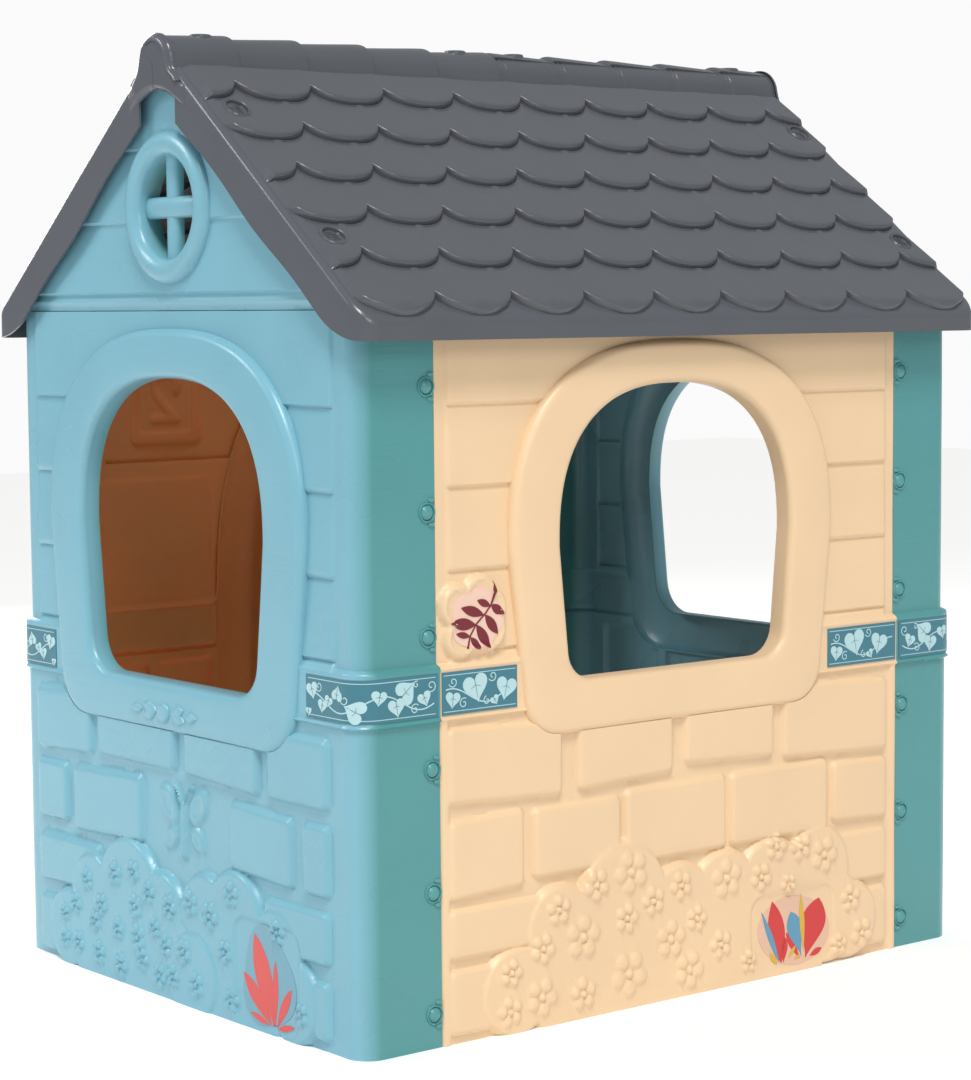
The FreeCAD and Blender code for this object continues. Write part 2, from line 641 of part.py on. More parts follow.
def ridge_bosses(half):
    """Sink seats for the ridge screws: bosses under the capping, dips in the other tongue."""
    seat = RIDGE_TOP - SCREW_HEAD[1]
    for x in RIDGE_SCREW_X:
        boss = rod(RIDGE_BOSS, FreeCAD.Vector(-x, 0, seat - SKIN), UP, SKIN + 1)
        dip = rod(RIDGE_BOSS + SEAM_GAP, FreeCAD.Vector(x, 0, seat - SKIN - SEAM_GAP), UP, 30)
        floor = rod(RIDGE_BOSS + SKIN, FreeCAD.Vector(x, 0, seat - 2 * SKIN - SEAM_GAP), UP, SKIN)
        floor = floor.common(ridge_hump(SKIN + SEAM_GAP, x - 30, x + 30))
        half = half.cut(dip).fuse([boss, floor])
    return half.removeSplitter()


# ---- screws and plugs ---------------------------------------------------------------------
def screw_axis(y):
    """Start (head's upper face) and inward direction of a roof screw on the -Y slope."""
    outward = FreeCAD.Vector(0, -RISE * COS, COS)
    foot = FreeCAD.Vector(0, -y, slope_z(y))
    return foot + outward * 3.0, outward * -1.0


def screw(start, direction, length):
    """Plastic screw with a flat head and a cross recess."""
    radius, thick = SCREW_HEAD
    head = rod(radius, start, direction, thick)
    shank = rod(SCREW_SHANK[0], start, direction, length)
    cross = []
    for wide, narrow in ((6.0, 1.2), (1.2, 6.0)):
        cross.append(box(-wide, wide, -narrow, narrow, -1.6, 1))
    slots = cross[0].fuse(cross[1])
    turn = FreeCAD.Rotation(UP, direction * -1.0)
    slots.Placement = FreeCAD.Placement(start, turn)
    return head.fuse(shank).cut(slots)


def screw_pockets():
    """Counterbores and holes for this half's slope screws and its two ridge screws."""
    cutters = []
    for x in (-SCREW_X, SCREW_X):
        for y in SCREW_Y:
            start, direction = screw_axis(y)
            start.x = x
            cutters.append(rod(SCREW_POCKET, start - direction * 20, direction, 20 + SCREW_HEAD[1]))
            cutters.append(rod(SCREW_SHANK[0] + SCREW_CLEARANCE, start, direction, 40))
    for x in RIDGE_SCREW_X:
        for side in (-1, 1):
            top = FreeCAD.Vector(side * x, 0, RIDGE_TOP + 5)
            cutters.append(rod(SCREW_SHANK[0] + SCREW_CLEARANCE, top, UP * -1, 60))
        seat = FreeCAD.Vector(-x, 0, RIDGE_TOP - SCREW_HEAD[1])
        cutters.append(rod(SCREW_HEAD[0] + 1, seat, UP, 20))
    return cutters


def slope_screws():
    """Four screws of the window-side slope, as separate solids."""
    solids = []
    for x in (-SCREW_X, SCREW_X):
        for y in SCREW_Y:
            start, direction = screw_axis(y)
            start.x = x
            solids.append(screw(start, direction, SCREW_SHANK[1]))
    return Part.makeCompound(solids)


def corner_plugs(side_x, side_y):
    """The six domed plugs that pin one corner wrap to its long wall."""
    solids = []
    for z in PLUG_Z:
        face = WALL_Y if z < BAND_Z[0] else UPPER_Y
        outward = FreeCAD.Vector(0, side_y, 0)
        seat = FreeCAD.Vector(side_x * PLUG_X, side_y * face, z)
        ball_r = (PLUG_HEAD ** 2 + PLUG_DOME ** 2) / (2 * PLUG_DOME)
        ball = Part.makeSphere(ball_r, seat + outward * (PLUG_DOME - ball_r))
        limit = rod(PLUG_HEAD + 1, seat, outward, PLUG_DOME + 1)
        shank = rod(PLUG_SHANK[0], seat + outward * 0.5, outward * -1.0, PLUG_SHANK[1])
        solids.append(ball.common(limit).fuse(shank))
    return Part.makeCompound(solids)


# ---- printed labels -----------------------------------------------------------------------
def label(u, z, half_u, half_z, face, radius=4.0):
    """Thin rounded label lying on a face that looks towards -Y."""
    plate = box(u - half_u, u + half_u, -face - DECAL, -face, z - half_z, z + half_z)
    across = [e for e in plate.Edges if abs(e.tangentAt(e.FirstParameter).y) > 0.9]
    return plate.makeFillet(radius, across)


BAND_LABEL_Z = (358.5, 405.5)


def band_label(u0, u1):
    z0, z1 = BAND_LABEL_Z
    return box(u0, u1, -WALL_Y - BAND_PROUD - DECAL, -WALL_Y - BAND_PROUD, z0, z1)


def corner_label(side):
    """Label strip on a gable's band, from the surround round the corner to the wrap's end."""
    z0, z1 = BAND_LABEL_Z
    ring = ring_wall((WALL_Y, WALL_X), DECAL, -BAND_PROUD - DECAL, z0, z1)
    ends = sorted((side * 268.0, side * 400.0))
    return ring.common(box(*ends, -500, -WRAP_END - 3, 0, 500))


def export(shape, name):
    shape.exportStep("parts/" + name + ".step")


def export_walls():
    shank = PLUG_SHANK[0] + 0.2
    gable = plug_holes(turned(gable_wall(house_shell()), NEAR_GABLE), shank)
    export(gable, "near_gable_wall")
    export(turned(gable, 180), "far_gable_wall")
    export(plug_holes(window_wall(), shank), "window_wall")
    export(plug_holes(turned(front_wall(), FRONT), shank), "front_wall")
    top = turned(gable_top(), NEAR_GABLE)
    export(top, "near_gable_top")
    export(turned(top, 180), "far_gable_top")


def export_roof():
    roof = roof_half()
    export(roof, "window_side_roof")
    export(turned(roof, 180), "door_side_roof")
    screws = slope_screws()
    export(screws, "window_side_roof_screws")
    export(turned(screws, 180), "door_side_roof_screws")
    ridge = []
    for x in RIDGE_SCREW_X:
        for side in (-1, 1):
            top = FreeCAD.Vector(side * x, 0, RIDGE_TOP)
            ridge.append(screw(top, UP * -1, SCREW_SHANK[1]))
    export(Part.makeCompound(ridge), "ridge_screws")


def export_door():
    export(turned(door_leaf(), FRONT), "door_leaf")
    for name, z in zip(("lower", "upper"), HINGE_Z):
        export(turned(hinge_pin(z), FRONT), name + "_hinge_pin")


def export_plugs():
    for name_x, side_x in (("near", -1), ("far", 1)):
        for name_y, side_y in (("window", -1), ("door", 1)):
            export(corner_plugs(side_x, side_y), name_x + "_" + name_y + "_corner_plugs")


def export_vine_labels():
    for end, degrees in (("near", NEAR_GABLE), ("far", FAR_GABLE)):
        export(turned(corner_label(-1), degrees), end + "_left_vine_label")
        export(turned(corner_label(1), degrees), end + "_right_vine_label")
    export(band_label(-350, -268), "window_wall_left_vine_label")
    export(band_label(268, 350), "window_wall_right_vine_label")
    export(turned(band_label(180, 350), FRONT), "front_wall_vine_label")


def export_picture_labels():
    plant = label(188, 64, 62, 56, WALL_X + BUSH_PROUD)
    export(turned(plant, NEAR_GABLE), "near_plant_label")
    export(turned(plant, FAR_GABLE), "far_plant_label")
    export(label(169, 52, 65, 42, WALL_Y + BUSH_PROUD), "petal_label")
    u, z, half_u, half_z = PLAQUE
    export(label(u, z, half_u - 7, half_z - 6, UPPER_Y + 8), "leaf_plaque_label")
    recess_u, recess_z = NUMBER_RECESS
    number = label(*NUMBER_FRAME[:2], recess_u - 1, recess_z - 1, UPPER_Y + 3)
    export(turned(number, FRONT), "house_number_label")
    u, z, half_u, half_z = PANEL
    panel = label(u, z, half_u - 3, half_z - 3, UPPER_Y + 4)
    export(turned(panel, FRONT), "leaf_panel_label")


def main():
    os.makedirs("parts", exist_ok=True)
    export_walls()
    export_roof()
    export_door()
    export_plugs()
    export_vine_labels()
    export_picture_labels()


main()
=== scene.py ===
"""Looks of the plastic playhouse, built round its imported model.  Shapes are drawn in millimetres."""
import math

import bpy
import numpy as np
from mathutils import Matrix, Vector


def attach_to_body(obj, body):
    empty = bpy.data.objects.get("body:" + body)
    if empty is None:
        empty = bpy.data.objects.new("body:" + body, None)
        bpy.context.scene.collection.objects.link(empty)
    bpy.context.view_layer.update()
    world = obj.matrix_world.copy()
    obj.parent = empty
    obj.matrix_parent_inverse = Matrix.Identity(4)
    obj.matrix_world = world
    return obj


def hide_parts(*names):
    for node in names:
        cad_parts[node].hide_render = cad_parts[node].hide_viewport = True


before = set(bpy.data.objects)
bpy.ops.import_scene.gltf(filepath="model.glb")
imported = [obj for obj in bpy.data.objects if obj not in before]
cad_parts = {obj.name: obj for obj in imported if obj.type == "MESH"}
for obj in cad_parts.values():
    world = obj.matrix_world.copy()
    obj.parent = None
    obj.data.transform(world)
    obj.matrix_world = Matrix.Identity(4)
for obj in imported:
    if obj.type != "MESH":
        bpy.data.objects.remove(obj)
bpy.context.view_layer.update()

# ---- sizes shared with the CAD source, in millimetres --------------------------------------
WALL_X, WALL_Y = 457.5, 356.0
CORNER_R = 28.0         # rounding of the house's upright corners
STEP = 5.0              # the upper walls stand this far inside the lower ones
SKIN = 3.0              # thickness of every moulding
WRAP_END = 352.0        # the gable walls end here along the long walls
BAND = (351.0, 413.0)   # heights of the raised band round the house
SEAM_Z = 790.0          # seam between a gable wall and its top
LONG_TOP = 784.0        # top of the long walls
FRONT_H = 9.0           # front of the surrounds above the lower face
HEAD_POWER = 2.5        # power of the superellipse at the heads of the openings
RISE = 0.80             # height gained per millimetre towards the ridge
APEX_Z = 1090.0         # where the two slopes would meet
ROOF_X, ROOF_Y = 468.0, 385.0
RIDGE_TOP = 1100.0
COS = 1 / math.sqrt(1 + RISE * RISE)
SIN = RISE * COS
GRID = 3.0              # spacing of the moulded skins' grids
FINE_GRID = 2.0
FLOWERS_TOP = 174.0     # the grid is finer below this height
SNAP = 0.55             # share of the grid over which points move onto an outline
NEAR, FAR, FRONT = -90, 90, 180

GABLE_WINDOW = dict(centre=0, half=190, foot=172, low=367, spring=540, top=714, corner=45)
GABLE_SURROUND = dict(centre=0, half=265, foot=240, low=310, spring=540, top=770, corner=55)
LONG_WINDOW = dict(centre=-10, half=176, foot=162, low=381, spring=530, top=705, corner=35)
LONG_SURROUND = dict(centre=-10, half=246, foot=222, low=322, spring=530, top=754, corner=45)
DOORWAY = dict(centre=-85, half=192, foot=192, low=35, spring=405, top=704, corner=5)
DOOR_SURROUND = dict(centre=-85, half=258, foot=258, low=0, spring=405, top=762, corner=1)


# ---- numeric helpers -----------------------------------------------------------------------
def smooth(t):
    t = np.clip(t, 0, 1)
    return t * t * (3 - 2 * t)


def raised(d, height, edge):
    """Height of a pad with a rounded edge; d is the signed distance, negative inside."""
    t = np.clip(-d / edge, 0, 1)
    return height * (0.55 * np.sqrt(t * (2 - t)) + 0.45 * smooth(t))


def box_d(u, z, u0, u1, z0, z1, r):
    x = np.abs(u - (u0 + u1) / 2) - (u1 - u0) / 2 + r
    y = np.abs(z - (z0 + z1) / 2) - (z1 - z0) / 2 + r
    return np.hypot(np.maximum(x, 0), np.maximum(y, 0)) + np.minimum(np.maximum(x, y), 0) - r


def discs_d(u, z, discs):
    d = np.full(u.shape, 1e9)
    for cu, cz, r in discs:
        d = np.minimum(d, np.hypot(u - cu, z - cz) - r)
    return d


def oval_d(u, z, cu, cz, a, b, turn=0.0):
    """Rough signed distance to an ellipse turned by turn degrees."""
    c, s = math.cos(math.radians(turn)), math.sin(math.radians(turn))
    x, y = (u - cu) * c + (z - cz) * s, -(u - cu) * s + (z - cz) * c
    k = np.hypot(x / a, y / b)
    return (k - 1) * min(a, b)


def line_d(u, z, p, q, r):
    p, q = np.array(p, float), np.array(q, float)
    d = q - p
    t = np.clip(((u - p[0]) * d[0] + (z - p[1]) * d[1]) / (d @ d), 0, 1)
    return np.hypot(u - p[0] - t * d[0], z - p[1] - t * d[1]) - r


def signed(outline, u, z):
    """Signed distance to a closed outline (negative inside) and the nearest point on it."""
    a, b = outline, np.roll(outline, -1, 0)
    keep = np.hypot(*(b - a).T) > 1e-6
    a, b = a[keep], b[keep]
    ab = b - a
    d, near = np.empty(u.size), np.empty((u.size, 2))
    for part in np.array_split(np.arange(u.size), u.size // 8000 + 1):
        p = np.stack((u[part], z[part]), 1)[:, None, :]
        t = np.clip(((p - a) * ab).sum(-1) / (ab * ab).sum(-1), 0, 1)
        q = a + t[..., None] * ab
        dist = np.hypot(*np.moveaxis(p - q, -1, 0))
        best = dist.argmin(1)
        rows = np.arange(len(part))
        over = (a[:, 1] > p[..., 1]) != (b[:, 1] > p[..., 1])
        rise = np.where(np.abs(ab[:, 1]) < 1e-9, 1e-9, ab[:, 1])
        cross = p[..., 0] < a[:, 0] + (p[..., 1] - a[:, 1]) / rise * ab[:, 0]
        inside = (over & cross).sum(1) % 2 == 1
        d[part] = np.where(inside, -dist[rows, best], dist[rows, best])
        near[part] = q[rows, best]
    return d, near


def arch_outline(shape, grow=0.0):
    """Closed outline of an arch, anticlockwise from the left of its foot, same count each time."""
    half, foot = shape["half"] + grow, shape["foot"] + grow
    low, spring, top = shape["low"] - grow, shape["spring"], shape["top"] + grow
    r = max(shape["corner"] + grow, 0.5)
    lean = math.atan2(half - foot, spring - low)
    turn = math.pi / 2 - lean
    bow = r * math.tan(turn / 2)
    flat = foot - bow
    right = []
    for k in range(9):
        angle = turn * k / 8
        right.append((flat + r * math.sin(angle), low + r * (1 - math.cos(angle))))
    end = right[-1]
    for k in range(1, 17):
        t = k / 17
        right.append((end[0] + (half - end[0]) * t, end[1] + (spring - end[1]) * t))
    power = 2 / HEAD_POWER
    for k in range(41):
        angle = math.pi / 2 * k / 40
        right.append((half * math.cos(angle) ** power if k < 40 else 0.0,
                      spring + (top - spring) * math.sin(angle) ** power))
    bottom = [(-flat + 2 * flat * k / 24, low) for k in range(1, 24)]
    left = [(-u, z) for u, z in right[-2::-1]]
    points = np.array(bottom + right + left)
    points[:, 0] += shape["centre"]
    return points


def circle(r, z, count=72):
    t = np.arange(count) * 2 * math.pi / count
    return np.stack((r * np.sin(t), z - r * np.cos(t)), 1)


# ---- mesh helpers --------------------------------------------------------------------------
def placed(name, data, turn=0):
    """New object in the scene, turned about the Z axis."""
    obj = bpy.data.objects.new(name, data)
    bpy.context.scene.collection.objects.link(obj)
    obj.matrix_world = Matrix.Rotation(math.radians(turn), 4, "Z")
    return obj


def mesh_object(name, points, faces, turn=0, sharp=50):
    """Object from points in millimetres and a list or array of faces."""
    mesh = bpy.data.meshes.new(name)
    mesh.from_pydata((np.asarray(points) * 0.001).tolist(), [], [list(map(int, f)) for f in faces])
    mesh.update()
    mesh.polygons.foreach_set("use_smooth", [True] * len(mesh.polygons))
    mesh.set_sharp_from_angle(angle=math.radians(sharp))
    return placed(name, mesh, turn)


def thinned(obj, ratio):
    """Collapse the flat areas' vertices, keeping the relief."""
    modifier = obj.modifiers.new("thin", "DECIMATE")
    modifier.ratio = ratio
    graph = bpy.context.evaluated_depsgraph_get()
    mesh = bpy.data.meshes.new_from_object(obj.evaluated_get(graph))
    obj.modifiers.clear()
    obj.data = mesh
    mesh.set_sharp_from_angle(angle=math.radians(50))
    return obj


def copy_of(obj, name, turn):
    return placed(name, obj.data, turn)


def far_twin(obj):
    """The far gable's copy of a near gable's piece."""
    return copy_of(obj, obj.name.replace("near", "far"), FAR)


def lofted(rows, count, closed=False):
    """Quads between rings of count points each; closed also joins the last ring to the first."""
    faces = []
    for j in range(rows if closed else rows - 1):
        n = (j + 1) % rows
        for i in range(count):
            k = (i + 1) % count
            faces.append((j * count + i, j * count + k, n * count + k, n * count + i))
    return faces


def capped(rows, count, start=0):
    """Faces of a prism of rings, with both ends; start is the number of its first point."""
    last = (rows - 1) * count
    faces = lofted(rows, count) + [tuple(range(count))[::-1], tuple(range(last, last + count))]
    return [tuple(start + i for i in face) for face in faces]


def spread(low, high, step):
    return np.linspace(low, high, int((high - low) / step) + 1)


def wall_grid(half, top):
    """Grid of a wall, finer below, where the flowers are."""
    rows = np.concatenate((spread(0, FLOWERS_TOP, FINE_GRID), spread(FLOWERS_TOP, top, GRID)[1:]))
    return np.meshgrid(spread(-half, half, FINE_GRID), rows, indexing="ij")


def snapped(grids, cuts, grid):
    """Grid points moved onto the outlines near them, and each point's state: 1 stays, 0 lies
    on an outline, -1 is cut away."""
    a, b = grids[0].ravel(), grids[1].ravel()
    state = np.ones(a.size, int)
    for outline, side in cuts:
        lo, hi = outline.min(0) - 2 * grid, outline.max(0) + 2 * grid
        box = (a > lo[0]) & (a < hi[0]) & (b > lo[1]) & (b < hi[1])
        d = np.full(a.size, 1e9)
        near = np.stack((a, b), 1)
        d[box], near[box] = signed(outline, a[box], b[box])
        d *= side
        snap = np.abs(d) < SNAP * grid
        a, b = np.where(snap, near[:, 0], a), np.where(snap, near[:, 1], b)
        state = np.where(d <= -SNAP * grid, -1, np.where(snap, np.minimum(state, 0), state))
    return a, b, state


def kept_faces(shape, state):
    """The grid's quads that stay, and the triangles left where one corner is cut away."""
    index = np.arange(state.size).reshape(shape)
    quads = np.stack((index[:-1, :-1], index[1:, :-1], index[1:, 1:], index[:-1, 1:]), -1)
    quads = quads.reshape(-1, 4)
    gone = state[quads] < 0
    whole = quads[~gone.any(1) & (state[quads] > 0).any(1)]
    corners = []
    for k in range(4):
        around = [quads[:, (k + m) % 4] for m in (1, 2, 3)]
        fits = (gone.sum(1) == 1) & gone[:, k]
        fits &= (state[around[0]] == 0) & (state[around[2]] == 0)
        corners.append(np.stack(around, 1)[fits])
    return whole, np.concatenate(corners)


def rim_faces(whole, triangles, count):
    """Quads that close a skin between its outer points and the same points count later."""
    edges = [whole[:, [k, (k + 1) % 4]] for k in range(4)]
    edges += [triangles[:, [k, (k + 1) % 3]] for k in range(3)]
    edges = np.concatenate(edges)
    key = edges[:, 0] * count + edges[:, 1]
    back = edges[:, 1] * count + edges[:, 0]
    rim = edges[~np.isin(key, back)]
    return np.stack((rim[:, 1], rim[:, 0], rim[:, 0] + count, rim[:, 1] + count), 1)


def skin(name, grids, surface, cuts=(), turn=0, grid=GRID, ratio=0.4):
    """Moulded skin over a grid.  surface(a, b) gives the outer points and the normals;
    cuts are (outline, side), where side 1 keeps what lies outside the outline, -1 inside."""
    a, b, state = snapped(grids, cuts, grid)
    whole, triangles = kept_faces(grids[0].shape, state)
    outer, normal = surface(a, b)
    points = np.concatenate((outer, outer - normal * SKIN))
    count = len(a)
    quads = np.concatenate((whole, whole[:, ::-1] + count, rim_faces(whole, triangles, count)))
    triangles = np.concatenate((triangles, triangles[:, ::-1] + count))
    used = np.unique(np.concatenate((quads.ravel(), triangles.ravel())))
    renumber = np.zeros(2 * count, int)
    renumber[used] = np.arange(len(used))
    faces = renumber[quads].tolist() + renumber[triangles].tolist()
    obj = mesh_object(name, points[used], faces, turn)
    return thinned(obj, ratio) if ratio < 1 else obj


def swept_ring(name, inner, outer, profile, surface, turn=0):
    """Closed band between two matching outlines.  A profile point is (t, o, h): t of the way
    from the inner outline to the outer one, o millimetres further, h high; h may be a function
    of the height above ground."""
    way = outer - inner
    way /= np.hypot(*way.T)[:, None]
    rows = []
    for t, o, h in profile:
        flat = inner + (outer - inner) * t + way * o
        height = h(flat[:, 1]) if callable(h) else np.full(len(inner), float(h))
        rows.append(surface(flat[:, 0], flat[:, 1], height))
    return mesh_object(name, np.concatenate(rows), lofted(len(rows), len(inner), True), turn)


def surround_profile():
    """Profile of a surround: return, rounded inner edge, flat front, rounded outer edge, and
    the same again inside it."""
    inner_h, inner_r, outer_r = FRONT_H - 26, 9, 10
    quarter = [math.pi / 2 * k / 6 for k in range(7)]
    line = [(0, 0, inner_h)]
    line += [(0, inner_r * (1 - math.cos(a)), FRONT_H - inner_r * (1 - math.sin(a)))
             for a in quarter]
    line += [(0.35, 0, FRONT_H + 0.5), (0.65, 0, FRONT_H + 0.5)]
    line += [(1, -outer_r * (1 - math.sin(a)), FRONT_H - outer_r * (1 - math.cos(a)))
             for a in quarter]
    return line + [(1, 0, ring_foot), (1, -SKIN, ring_foot), (1, -SKIN, FRONT_H - outer_r),
                   (1, -outer_r, FRONT_H - SKIN), (0, inner_r, FRONT_H - SKIN),
                   (0, SKIN, FRONT_H - inner_r), (0, SKIN, inner_h)]


# ---- wall surfaces, all drawn facing -Y ----------------------------------------------------
def facing(distance):
    """Placing function for an upright face that looks along -Y, this far out."""
    def place(u, z, h):
        return np.stack((u, -distance - h, z), 1)
    return place


def relief_on(place, height):
    """Surface function of a skin that faces -Y."""
    def surface(u, z):
        return place(u, z, height(u, z)), np.tile((0.0, -1.0, 0.0), (len(u), 1))
    return surface


def zero_height(u, _):
    return np.zeros(u.shape)


flat_wall, gable_flat = facing(WALL_Y), facing(WALL_X)


def gable_wrap(s, z, h):
    """Gable face with both rounded corners and the returns along the long walls."""
    points, normals = gable_base(s)
    out = points + normals * h[:, None]
    return np.stack((out[:, 0], out[:, 1], z), 1)


def gable_base(s):
    flat = WALL_Y - CORNER_R
    bend = CORNER_R * math.pi / 2
    side, run = np.sign(s), np.abs(s)
    angle = np.clip((run - flat) / CORNER_R, 0, math.pi / 2)
    x = np.minimum(run, flat) + CORNER_R * np.sin(angle)
    y = -WALL_X + CORNER_R * (1 - np.cos(angle)) + np.maximum(run - flat - bend, 0)
    normals = np.stack((side * np.sin(angle), -np.cos(angle)), 1)
    return np.stack((side * x, y), 1), normals


WRAP_S = WALL_Y - CORNER_R + CORNER_R * math.pi / 2 + (WALL_X - CORNER_R - WRAP_END)


def base_profile(z):
    """Height of the plain wall: lower face, band with its two lips, upper face."""
    h = -STEP * smooth((z - BAND[1] + 6) / 3)
    band = box_d(np.zeros_like(z), z, -9, 9, BAND[0] + 2, BAND[1] - 2, 1)
    h = np.maximum(h, -STEP + raised(band, STEP + 2, 3))
    for low in (BAND[0], BAND[1] - 7):
        lip = np.abs(z - low - 3.5) - 3.5
        h = np.maximum(h, -STEP + raised(lip, STEP + 4.5, 3.5))
    return h


def plank_relief(u, z, lines, first, last, ends):
    """Boards that lap over each other: each stands proud at its lower edge."""
    h = np.zeros_like(z)
    edges = [first] + list(lines) + [last]
    for z0, z1 in zip(edges[:-1], edges[1:]):
        inside = (z >= z0) & (z < z1)
        share = (z - z0) / (z1 - z0)
        h = np.where(inside, 0.8 + 3.2 * (1 - share), h)
    for line in lines:
        h -= 1.2 * np.exp(-((z - line + 1.5) / 1.8) ** 2)
    fade = smooth((ends - np.abs(u)) / 4) * (z > first)
    return h * fade


def brick_relief(u, z, bricks):
    h = np.zeros_like(z)
    for u0, u1, z0, z1, tilt in bricks:
        d = box_d(u, z - tilt * (u - (u0 + u1) / 2) * 0.04, u0, u1, z0, z1, 9)
        h = np.maximum(h, raised(d, 6.6, 6.5))
    return h


def flower_relief(u, z, base, flowers):
    """Five petals round a domed middle, laid on the height base."""
    h = base.copy()
    for k, (cu, cz, size) in enumerate(flowers):
        near = (np.abs(u - cu) < 2.2 * size) & (np.abs(z - cz) < 2.2 * size)
        x, y = u[near] - cu, z[near] - cz
        lift = np.zeros(x.shape)
        for petal in range(5):
            angle = math.radians(72 * petal + 31 * k)
            px, py = size * math.cos(angle), size * math.sin(angle)
            d = np.hypot(x - px, y - py) - 0.62 * size
            lift = np.maximum(lift, raised(d, 3.8, 0.42 * size))
        lift = np.maximum(lift, raised(np.hypot(x, y) - 0.36 * size, 4.6, 0.3 * size))
        h[near] = np.maximum(h[near], base[near] + lift)
    return h


def speckle(u, z):
    """Slow waviness of a blow-moulded panel."""
    return (0.35 * np.sin(u / 47 + 1.3 * np.sin(z / 83)) * np.cos(z / 61)
            + 0.2 * np.sin(u / 19 + z / 31))


# ---- relief of each wall -------------------------------------------------------------------
GABLE_BRICKS = [
    (-312, -180, 260, 338, 1), (-168, 5, 265, 330, 0), (22, 173, 262, 330, -1),
    (190, 305, 260, 338, 0), (-312, -240, 172, 246, 0), (-226, -68, 169, 250, 1),
    (115, 238, 168, 247, -1), (255, 305, 166, 246, 0), (-312, -165, 94, 155, 0),
    (180, 303, 92, 152, 0), (-312, -270, 6, 78, 0), (272, 303, 10, 76, 0)]
GABLE_BUSH = [(-237, 45, 50), (-183, 98, 48), (-100, 112, 65), (-30, 95, 52), (-150, 40, 80),
              (-60, 40, 80), (-10, 50, 60)]
GABLE_BUSH_FRONT = [(40, 36, 54)]
GABLE_BUSH_BACK = [(65, 104, 55), (125, 115, 57), (205, 94, 48), (234, 44, 51), (150, 50, 80),
                   (90, 50, 60)]
GABLE_FLOWERS = [
    (-217, 78, 9), (-190, 111, 9), (-157, 86, 9), (-125, 128, 10), (-83, 137, 9),
    (-50, 118, 9), (-80, 96, 10), (-6, 108, 10), (-243, 30, 8), (-212, 31, 9), (-165, 26, 10),
    (-172, 64, 9), (-120, 63, 9), (-76, 60, 11), (-115, 20, 10), (-38, 78, 8), (-28, 24, 10),
    (-14, 62, 9), (26, 62, 10), (3, 29, 9), (52, 28, 10), (-66, 36, 9), (38, 119, 10),
    (78, 112, 11), (122, 143, 10), (108, 76, 9), (210, 116, 9), (255, 34, 9), (120, 24, 9),
    (-243, 62, 7)]
LONG_BRICKS = [
    (-345, -183, 257, 342, -1), (-163, -18, 258, 335, 1), (-2, 142, 264, 335, -1),
    (155, 334, 253, 342, -1), (-345, -238, 158, 246, 1), (-227, -98, 165, 245, 0),
    (-93, 65, 163, 250, 0), (70, 232, 163, 250, 0), (238, 334, 168, 243, -1),
    (-345, -200, 91, 148, 0), (230, 334, 92, 155, 0), (-345, -270, 8, 82, 0),
    (290, 334, 10, 84, 0)]
LONG_BUSH = [(-252, 45, 52), (-190, 108, 50), (-98, 126, 68), (-10, 100, 57), (60, 108, 55),
             (135, 112, 56), (212, 118, 55), (265, 50, 50), (-150, 50, 90), (-50, 50, 80),
             (60, 50, 80), (160, 50, 80), (230, 60, 60)]
LONG_FLOWERS = [
    (-263, 68, 10), (-265, 25, 11), (-218, 88, 11), (-195, 128, 11), (-140, 148, 12),
    (-160, 92, 16), (-88, 156, 16), (-95, 104, 11), (-55, 118, 11), (-220, 34, 14),
    (-160, 28, 12), (-92, 40, 17), (-28, 70, 14), (-12, 130, 11), (12, 88, 10), (50, 52, 11),
    (0, 30, 14), (60, 128, 15), (115, 122, 11), (95, 25, 9), (160, 108, 8), (140, 155, 11),
    (180, 150, 11), (220, 135, 14), (265, 76, 11), (285, 30, 12), (245, 22, 9)]


def insect(u, z):
    """A plain butterfly without a face."""
    h = np.zeros_like(z)
    for cu, cz, a, b, turn in ((-14, 226, 27, 17, 128), (-10, 188, 20, 13, 40),
                               (48, 230, 27, 17, 52), (46, 192, 20, 13, 140)):
        d = oval_d(u, z, cu, cz, a, b, turn)
        h = np.maximum(h, raised(d, 4.5, 6) - raised(d + 8, 1.6, 4))
    for p, q, r in (((16, 172), (18, 226), 7.5), ((14, 232), (2, 252), 2.2),
                    ((22, 232), (34, 252), 2.2)):
        h = np.maximum(h, raised(line_d(u, z, p, q, r), 6.5, r))
    return h


def centred_d(u, z, centre, half_u, half_z, r):
    cu, cz = centre
    return box_d(u, z, cu - half_u, cu + half_u, cz - half_z, cz + half_z, r)


def sunk(relief, plate, depth):
    """Relief lowered where a print lies; plate is the signed distance to its outline."""
    return np.where(plate < 3, relief - depth * smooth((3 - plate) / 4), relief)


def side_ribs(u, relief):
    return np.maximum(relief, raised(np.abs(np.abs(u) - 345.5) - 5.5, 3.0, 3))


def wall_height(u, z, relief, boards, ends):
    """Plain wall with the relief below its band and boards above it."""
    h = base_profile(z)
    h = np.where(z < BAND[0] + 3, np.maximum(h, relief), h)
    return h + plank_relief(u, z, boards, BAND[1] + 1, SEAM_Z + 90, ends)


def gable_height(u, z):
    relief = np.maximum(brick_relief(u, z, GABLE_BRICKS), insect(u, z))
    for lobes, top in ((GABLE_BUSH_BACK, 8.4), (GABLE_BUSH, 9.6), (GABLE_BUSH_FRONT, 11.0)):
        relief = np.maximum(relief, raised(discs_d(u, z, lobes), top, 6))
    relief = sunk(relief, box_d(u, z, 126, 250, 2, 122, 22), 2.2)
    relief = flower_relief(u, z, relief, GABLE_FLOWERS)
    return wall_height(u, z, relief, (421, 510, 600, 689), 312) + speckle(u, z) * 0.5


PLAQUE = [(-322, 440, 24), (-325, 474, 26), (-296, 482, 26), (-282, 470, 24), (-284, 446, 25),
          (-303, 458, 36)]


